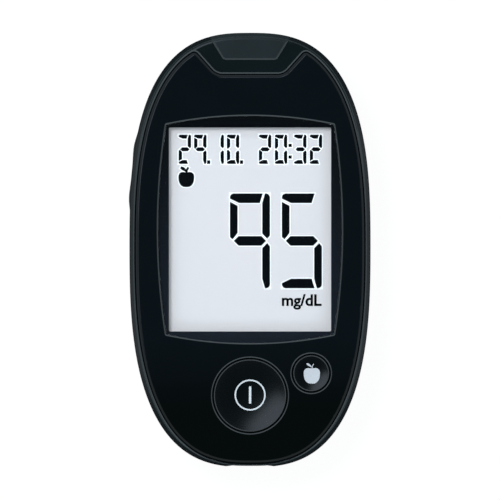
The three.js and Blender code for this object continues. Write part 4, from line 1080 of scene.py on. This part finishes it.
def digit_bars(width, height, stem, bar, gap):
    """The seven bars of a digit, each as its corners, with shares of the stem, the bar and the
    gap as their offsets. The lower ones mirror the upper ones."""
    middle, corner, slant, tip = height / 2, 0.53 * bar, 0.315 * bar, 0.35 * stem
    top = [(0, height - corner), (0, height, corner * 0.8), (width - 0.94 * stem, height),
           (width - 0.94 * stem - slant, height - bar), (1.2 * stem, height - bar)]
    upper_right = [(width - 0.64 * stem, height), (width, height, corner * 0.8),
                   (width, middle + 0.7 * stem), (width - 0.36 * stem, middle + 0.29 * stem),
                   (width - stem, middle + 0.95 * stem), (width - stem, height - bar)]
    upper_left = [(0, height - corner - 1.6 * gap), (stem, height - bar - 1.4 * gap),
                  (stem, middle + bar / 2 + 1.6 * gap), (tip, middle + 0.8 * gap),
                  (0, middle + 0.8 * gap + 0.85 * tip)]
    near, far = tip + 0.6 * gap, width - tip - 0.6 * gap
    centre = [(near, middle), (near + bar / 2, middle + bar / 2), (far - bar / 2, middle + bar / 2),
              (far, middle), (far - bar / 2, middle - bar / 2), (near + bar / 2, middle - bar / 2)]

    def mirrored(corners):
        return [(x, height - y, *radius) for x, y, *radius in corners]

    return {"a": top, "b": upper_right, "c": mirrored(upper_right), "d": mirrored(top),
            "e": mirrored(upper_left), "f": upper_left, "g": centre}


LIT_BARS = {"0": "abcdef", "1": "bc", "2": "abged", "3": "abgcd", "5": "afgcd", "9": "abcfg"}


def grown_plan(corners, distance):
    """Corners moved outwards by distance."""
    places = [Vector(corner[:2]) for corner in corners]
    count = len(places)
    area = sum(places[i - 1].cross(places[i]) for i in range(count))
    side = distance * copysign(1, area)
    result = []
    for i, place in enumerate(places):
        into = (place - places[i - 1]).normalized()
        away = (places[(i + 1) % count] - place).normalized()
        mean = Vector((into.y + away.y, -into.x - away.x)).normalized()
        # Even a sharp corner moves by no more than twice the distance.
        stretch = max(mean.dot(Vector((into.y, -into.x))), 1 / 2)
        moved = place + mean * side / stretch
        result.append((moved.x, moved.y))
    return result


def fruit_plans(x, y, width, bolder):
    """Plans of a round fruit with broad shoulders, its leaf and its stalk, in tenths of width."""
    unit = width / 10
    body = []
    for step in range(FRUIT_STEPS):
        across, along = cos(2 * pi * step / FRUIT_STEPS), sin(2 * pi * step / FRUIT_STEPS)
        power, height, dent = FRUIT_TOP if along > 0 else FRUIT_BOTTOM
        across, along = signed_power(across, power), signed_power(along, power)
        body.append((x + 5 * unit * across * (1 + FRUIT_SHOULDER * along),
                     y + height * unit * along * (1 - dent * (1 - abs(across)) ** 2)))
    return [body] + [grown_plan([(x + unit * across, y + unit * up) for across, up in plan], bolder)
                     for plan in (LEAF, STALK)]


def display_plans():
    """Plans of all the marks on the display."""
    plans = [rectangle(x, x + DOT_WIDTH, low, high) for x, low, high in DOTS]
    plans.extend(fruit_plans(*DISPLAY_FRUIT))
    for figures, y, size in ((READING, READING_Y, LARGE_DIGIT), (DATE, DATE_Y, SMALL_DIGIT)):
        bars = digit_bars(*size)
        plans.extend([(x + across, y + up, *radius) for across, up, *radius in bars[letter]]
                     for figure, x in figures for letter in LIT_BARS[figure])
    return plans


def unit_text(low, high):
    """The unit of the reading, as text made a mesh and then stretched to its place."""
    text = bpy.data.curves.new("unit", "FONT")
    text.body = "mg/dL"
    text.offset = UNIT_BOLDNESS
    shape = as_shape(as_object("unit", text))
    bpy.data.curves.remove(text)
    bmesh.ops.remove_doubles(shape, verts=shape.verts, dist=MERGE / 10)
    left, right, foot, head = UNIT_BOX
    xs, ys = ([vert.co[axis] for vert in shape.verts] for axis in (0, 1))
    wide, tall = (right - left) / (max(xs) - min(xs)), (head - foot) / (max(ys) - min(ys))
    for vert, x, y in zip(shape.verts, xs, ys):
        vert.co = (left + (x - min(xs)) * wide, foot + (y - min(ys)) * tall, low)
    return raised(shape, high - low)


def display_marks():
    plans = display_plans()
    low, high = (display_face + lift for lift in HALO_LAYER)
    halos = [flat_shape(grown_plan(plan, HALO), low, high) for plan in plans]
    finished("bar_surrounds", gathered(*halos), [], "polariser_film", finish="bare_cell")
    low, high = (display_face + lift for lift in MARK_LAYER)
    marks = [flat_shape(plan, low, high, segments=5) for plan in plans]
    finished("display_bars", gathered(*marks, unit_text(low, high)), [], "mask_print",
             finish="crystal_black")


# Buttons


def dish_depth(radius, cap_radius):
    """How far the dish lies under the rim of a cap at a distance from its middle."""
    reach = cap_radius - BUTTON_EDGE
    return max(DISH_SHARE * reach * (1 - (radius / reach) ** 2), 0)


def button(key, cap_radius, x, y):
    low, high = node_box(f"{key}_button")
    flange_radius = (high.x - low.x) / 2
    flange_top = DECK_BOTTOM - GAP
    flange_low = flange_top - BUTTON_FLANGE
    under = high.z - dish_depth(0, cap_radius) - BUTTON_WALL
    skirt = cap_radius - BUTTON_WALL
    reach = cap_radius - BUTTON_EDGE
    dish = [reach * step / DISH_STEPS for step in range(DISH_STEPS - 1, -1, -1)]
    shape = turned([
        (0, low.z), (STEM_RADIUS, low.z), (STEM_RADIUS, under), (skirt, under),
        (skirt, flange_low), (flange_radius, flange_low), (flange_radius, flange_top),
        (cap_radius, flange_top), (cap_radius, high.z - BUTTON_EDGE * CHAMFER_FALL),
        (reach, high.z),
        *[(radius, high.z - dish_depth(radius, cap_radius)) for radius in dish],
    ], x, y, 2 * ROUND_STEPS)
    finished(f"{key}_key_cap", shape, [f"{key}_button"], "button_gloss", crease=FINE_CREASE,
             body=f"{key}_key")


def draped(shape, cap_radius, x, y):
    """Lays a flat print, drawn about a cap's middle, down onto its dish."""
    for axis in (ACROSS, ALONG):
        sliced(shape, axis, cap_radius, PRINT_SLICE)
    for vert in shape.verts:
        vert.co.z += BUTTON_TOP - dish_depth(hypot(vert.co.x, vert.co.y), cap_radius) + INK / 2
    bmesh.ops.translate(shape, vec=(x, y, 0), verts=shape.verts)
    return shape


def button_prints():
    ring = turned([(RING_INNER, 0), (RING_OUTER, 0), (RING_OUTER, INK), (RING_INNER, INK),
                   (RING_INNER, 0)], steps=2 * ROUND_STEPS)
    stroke = flat_shape(rectangle(*STROKE), 0, INK)
    symbol = gathered(ring, stroke)
    bmesh.ops.translate(symbol, vec=(*SYMBOL_SHIFT, 0), verts=symbol.verts)
    finished("power_symbol", draped(symbol, *KEYS["power"]), [], "white_plastic",
             body="power_key", finish="white_ink")
    x, y, *size = KEY_FRUIT
    plans = fruit_plans(x - MEAL_X, y - MEAL_Y, *size)
    fruit = gathered(*[flat_shape(plan, 0, INK) for plan in plans])
    finished("meal_symbol", draped(fruit, *KEYS["meal"]), [], "white_plastic",
             body="meal_key", finish="grey_ink")


# Rocker, strip port and socket


def rocker_stand(share):
    """How far the key stands out of the wall: two bumps with a dip between them."""
    turn = abs(share) ** (log(1 / 2) / log(ROCKER_BUMP_SHARE))
    return ROCKER_DIP * (1 - turn) + ROCKER_PROUD * sin(pi * turn) ** 2


def rocker():
    low, high = ROCKER_Z - ROCKER_HEIGHT / 2, ROCKER_Z + ROCKER_HEIGHT / 2
    behind = WALL + ROCKER_BEHIND_WALL
    key = wall_band(ROCKER_LENGTH / 2, behind, lambda share: -rocker_stand(share), low, high)
    outer = sharp_edges(key, lambda middle: middle.x < WALL / 3 - half_width_at(middle.y),
                        ROCKER_CREASE)
    rounded(key, outer, ROCKER_EDGE)
    flange = wall_band(ROCKER_FLANGE_LENGTH / 2, behind + ROCKER_FLANGE, lambda share: behind - LAP,
                       low - ROCKER_FLANGE_LAP, high + ROCKER_FLANGE_LAP)
    wall_x = -half_width_at(ROCKER_MIDDLE_Y)
    pin_x = wall_x + ROCKER_PIN_INSET
    web = block(wall_x + behind, pin_x, ROCKER_MIDDLE_Y - ROCKER_WEB / 2,
                ROCKER_MIDDLE_Y + ROCKER_WEB / 2, low, high)
    pin = disc(ROCKER_PIN_RADIUS, rocker_low.z, rocker_high.z, pin_x, ROCKER_MIDDLE_Y)
    body = combined("UNION", key, flange, web, pin)
    finished("scroll_rocker", body, ["side_rocker"], "rocker_plastic", body="rocker")


def strip_insert():
    end, half_width, half_height = HALF_LENGTH, SLOT_WIDTH / 2, SLOT_HEIGHT / 2
    skin = outline_body([(0, SEAM + GAP), *rim(INSERT_PROUD)])
    wedge = insert_wedge(INSERT_GAP - INSERT_SEAM, 0, 2 * INSERT_EDGE)
    rounded(wedge, sharp_edges(wedge, lambda middle: middle.z > 1.5 * INSERT_EDGE), INSERT_EDGE, 1)
    for vert in wedge.verts:
        if vert.co.z < INSERT_EDGE / 2:
            vert.co.z = SEAM
        else:
            vert.co.z = insert_top + (vert.co.z - 2 * INSERT_EDGE) * CHAMFER_FALL
    body = combined("INTERSECT", skin, wedge)
    slot_plan = rectangle(-half_width, half_width, SLOT_Z - half_height, SLOT_Z + half_height)
    slot = laid_along_y(flat_shape(slot_plan, end - 2 * INSERT_DEPTH, end + OVERRUN))
    mouth = laid_along_y(flat_shape(slot_plan, end - SLOT_MOUTH_DEPTH, end + OVERRUN))
    flare = SLOT_MOUTH_FLARE / SLOT_MOUTH_DEPTH * (SLOT_MOUTH_DEPTH + OVERRUN)
    for vert in mouth.verts:
        if vert.co.y > end:
            vert.co.x += copysign(flare, vert.co.x)
            vert.co.z += copysign(flare, vert.co.z - SLOT_Z)
    body = combined("DIFFERENCE", body, slot, mouth)
    finished("strip_mouth", body, ["strip_port_insert"], "port_plastic", CRISP_EDGE, FINE_CREASE)


def socket():
    outer = socket_block(0, socket_low.y, socket_high.y)
    inner = socket_block(-SOCKET_WALL, socket_low.y - OVERRUN, socket_high.y + OVERRUN)
    finished("socket_shell", combined("DIFFERENCE", outer, inner), ["data_socket"],
             "socket_nickel", METAL_EDGE)
    low, high = node_box("data_socket_insert")
    under, over = ((low.z + high.z) / 2 - drop for drop in CONTACT_LAYER)
    places = [(i - (CONTACTS - 1) / 2) * CONTACT_PITCH for i in range(CONTACTS)]
    contacts = [block(x - CONTACT_HALF_WIDTH, x + CONTACT_HALF_WIDTH, low.y + CONTACT_START,
                      high.y - CONTACT_END, under, over) for x in places]
    finished("socket_contacts", gathered(*contacts), [], "contact_gold")


# Battery bay


def crossed_bars(x, y, arm, half_width, low, high):
    """Two bars that cross at (x, y), as what a pressed plus or a screw's cross takes away."""
    return [block(x - across, x + across, y - along, y + along, low, high)
            for across, along in ((arm, half_width), (half_width, arm))]


def coin_cell(name, node):
    low, high = node_box(node)
    x, y = centre_of(node)
    drop, bend, cap_radius = CELL_RIM, CELL_BEND * CELL_RIM, CELL_RADIUS - CELL_CAP_INSET * CELL_RIM
    shape = turned([
        (0, low.z), (CELL_RADIUS - drop, low.z), (CELL_RADIUS - bend, low.z + bend),
        (CELL_RADIUS, low.z + drop), (CELL_RADIUS, high.z - 2 * drop),
        (CELL_RADIUS - bend, high.z - drop - bend), (cap_radius, high.z - drop),
        (cap_radius, high.z), (0, high.z),
    ], x, y)
    arm, half_width, depth = PLUS
    plus = crossed_bars(x, y, arm, half_width, low.z - OVERRUN, low.z + depth)
    finished(name, combined("DIFFERENCE", shape, *plus), [node], "cell_nickel", CELL_EDGE)


def screw(name, node):
    low, high = node_box(node)
    x, y = centre_of(node)
    radius = (high.x - low.x) / 2
    head = low.z + SCREW_HEAD_HEIGHT
    shape = turned([
        (0, low.z), *[(radius - inset, low.z + up) for inset, up in SCREW_HEAD_ROUND],
        (radius, head), (SCREW_SHANK_RADIUS, head), (SCREW_SHANK_RADIUS, high.z - SCREW_POINT),
        (0, high.z),
    ], x, y, ROUND_STEPS // 2)
    cross = crossed_bars(x, y, radius - CROSS_INSET, CROSS_HALF_WIDTH, low.z - OVERRUN,
                         low.z + CROSS_DEPTH)
    finished(name, combined("DIFFERENCE", shape, *cross), [node], "screw_zinc", METAL_EDGE)


def door():
    """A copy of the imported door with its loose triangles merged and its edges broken."""
    shape = bmesh.new()
    shape.from_mesh(frame["nodes"]["battery_door"].data)
    bmesh.ops.scale(shape, vec=(1 / MM, 1 / MM, 1 / MM), verts=shape.verts)
    bmesh.ops.remove_doubles(shape, verts=shape.verts, dist=MERGE)
    bmesh.ops.dissolve_limit(shape, angle_limit=radians(1), verts=shape.verts, edges=shape.edges)
    finished("bay_door", shape, ["battery_door"], "back_abs", MOULD_EDGE, body="door")


rear_case_half()
upper_case_half()
panel()
window()
mask()
display_marks()
for key in KEYS:
    button(key, *KEYS[key])
button_prints()
rocker()
strip_insert()
socket()
for end in ("upper", "lower"):
    coin_cell(f"coin_cell_{end}", f"battery_cell_{end}")
for i, node in enumerate(SCREW_NODES):
    screw(f"back_screw_{i + 1}", node)
door()


# Floor and light


def white_paper(tree):
    """Pale paper that the camera and mirrors see nearly white, and that keeps the shadow. It is
    clear from below, so that the back can be looked at."""
    lit = add_node(tree, "BsdfDiffuse", {"Color": linear(0xe8e8e8)})
    glow = add_node(tree, "Emission", {"Color": linear(0xffffff), "Strength": 0.95})
    weak = add_node(tree, "BsdfDiffuse", {"Color": (0.08, 0.08, 0.08, 1)})
    both = add_node(tree, "AddShader", links={0: glow, 1: weak})
    seen = any_ray(tree, "Is Camera Ray", "Is Glossy Ray", "Is Transmission Ray")
    paper = add_node(tree, "MixShader", links={0: seen, 1: lit, 2: both})
    under = add_node(tree, "NewGeometry").outputs["Backfacing"]
    clear = add_node(tree, "BsdfTransparent")
    return add_node(tree, "MixShader", links={0: under, 1: paper, 2: clear})


floor_shape = bmesh.new()
bmesh.ops.create_grid(floor_shape, x_segments=1, y_segments=1, size=FLOOR_SIZE,
                      matrix=Matrix.Translation((FLOOR_SHIFT, 0, -FLOOR_GAP * MM)))
floor = as_object("floor", as_mesh("floor", floor_shape))
floor.data.materials.append(new_material("white_paper", white_paper))

# What the surroundings show, as (height, red, green, blue), from the horizon at 0 to straight
# above at 1: towards the long sides, and towards the ends. A slope s, seen from above, mirrors the
# height cos(2 atan s), so these stops give the lines of light along the rim and the panel's edge.
OVERHEAD = ((0.82, 0.46, 0.54, 0.58), (0.88, 0.04, 0.055, 0.065))
SIDES = ((0.28, 0.15, 0.15, 0.16), (0.32, 0.6, 0.64, 0.68), (0.5, 0.62, 0.66, 0.7),
         (0.54, 1.25, 1.52, 1.68), (0.75, 1.25, 1.52, 1.68), (0.78, 0.5, 0.58, 0.63), *OVERHEAD)
ENDS = ((0.57, 0.12, 0.13, 0.14), (0.61, 1.7, 2.07, 2.28), (0.72, 1.7, 2.07, 2.28),
        (0.74, 0.14, 0.16, 0.18), (0.785, 0.14, 0.16, 0.18), (0.8, 0.48, 0.56, 0.6), *OVERHEAD)
# Between these sizes of a direction's Y, the sides' view turns into that of the ends
TURN_START = 0.14
TURN_END = 0.4

world = bpy.data.worlds.new("studio")
bpy.context.scene.world = world
tree = cleared(world)
parts = add_node(tree, "SeparateXYZ", links={0: add_node(tree, "TexCoord").outputs["Generated"]})
sides, ends = (
    add_node(tree, "ValToRGB", links={"Fac": parts.outputs["Z"]},
             stops=[(height, (*colour, 1)) for height, *colour in view])
    for view in (SIDES, ENDS)
)
along = add_node(tree, "Math", {"operation": "ABSOLUTE"}, {0: parts.outputs["Y"]})
share = add_node(tree, "MapRange", {"From Min": TURN_START, "From Max": TURN_END},
                 {"Value": along})
room = add_node(tree, "MixRGB", links={"Fac": share, "Color1": sides, "Color2": ends})
surroundings = add_node(tree, "Background", links={"Color": room})
white = add_node(tree, "Background", {"Color": (1, 1, 1, 1)})
backdrop = add_node(tree, "MixShader", links={
    0: any_ray(tree, "Is Camera Ray"), 1: surroundings, 2: white,
})
add_node(tree, "OutputWorld", links={"Surface": backdrop})


def softbox(name, bearing, tilt, distance, size, depth, power, colour, mirrored):
    """An oblong lamp at a compass bearing from the top end, tilted from straight above. Distance
    and sizes are in metres, the power in watts."""
    lamp = bpy.data.lights.new(name, "AREA")
    lamp.shape = "RECTANGLE"
    lamp.size = size
    lamp.size_y = depth
    lamp.color = colour
    lamp.energy = power
    holder = as_object(name, lamp)
    bearing, tilt = radians(bearing), radians(tilt)
    way = Vector((sin(tilt) * sin(bearing), sin(tilt) * cos(bearing), cos(tilt)))
    holder.location = way * distance
    holder.rotation_euler = way.to_track_quat("Z", "Y").to_euler()
    holder.visible_glossy = mirrored


softbox("key_lamp", -45, 20, 0.9, 0.2, 0.2, 3.2, (1, 1, 1), False)
# Mirrored as the highlight in the dished keys
softbox("small_lamp", -48, 18.5, 0.7, 0.42, 0.21, 0.5, (0.74, 0.87, 1), True)
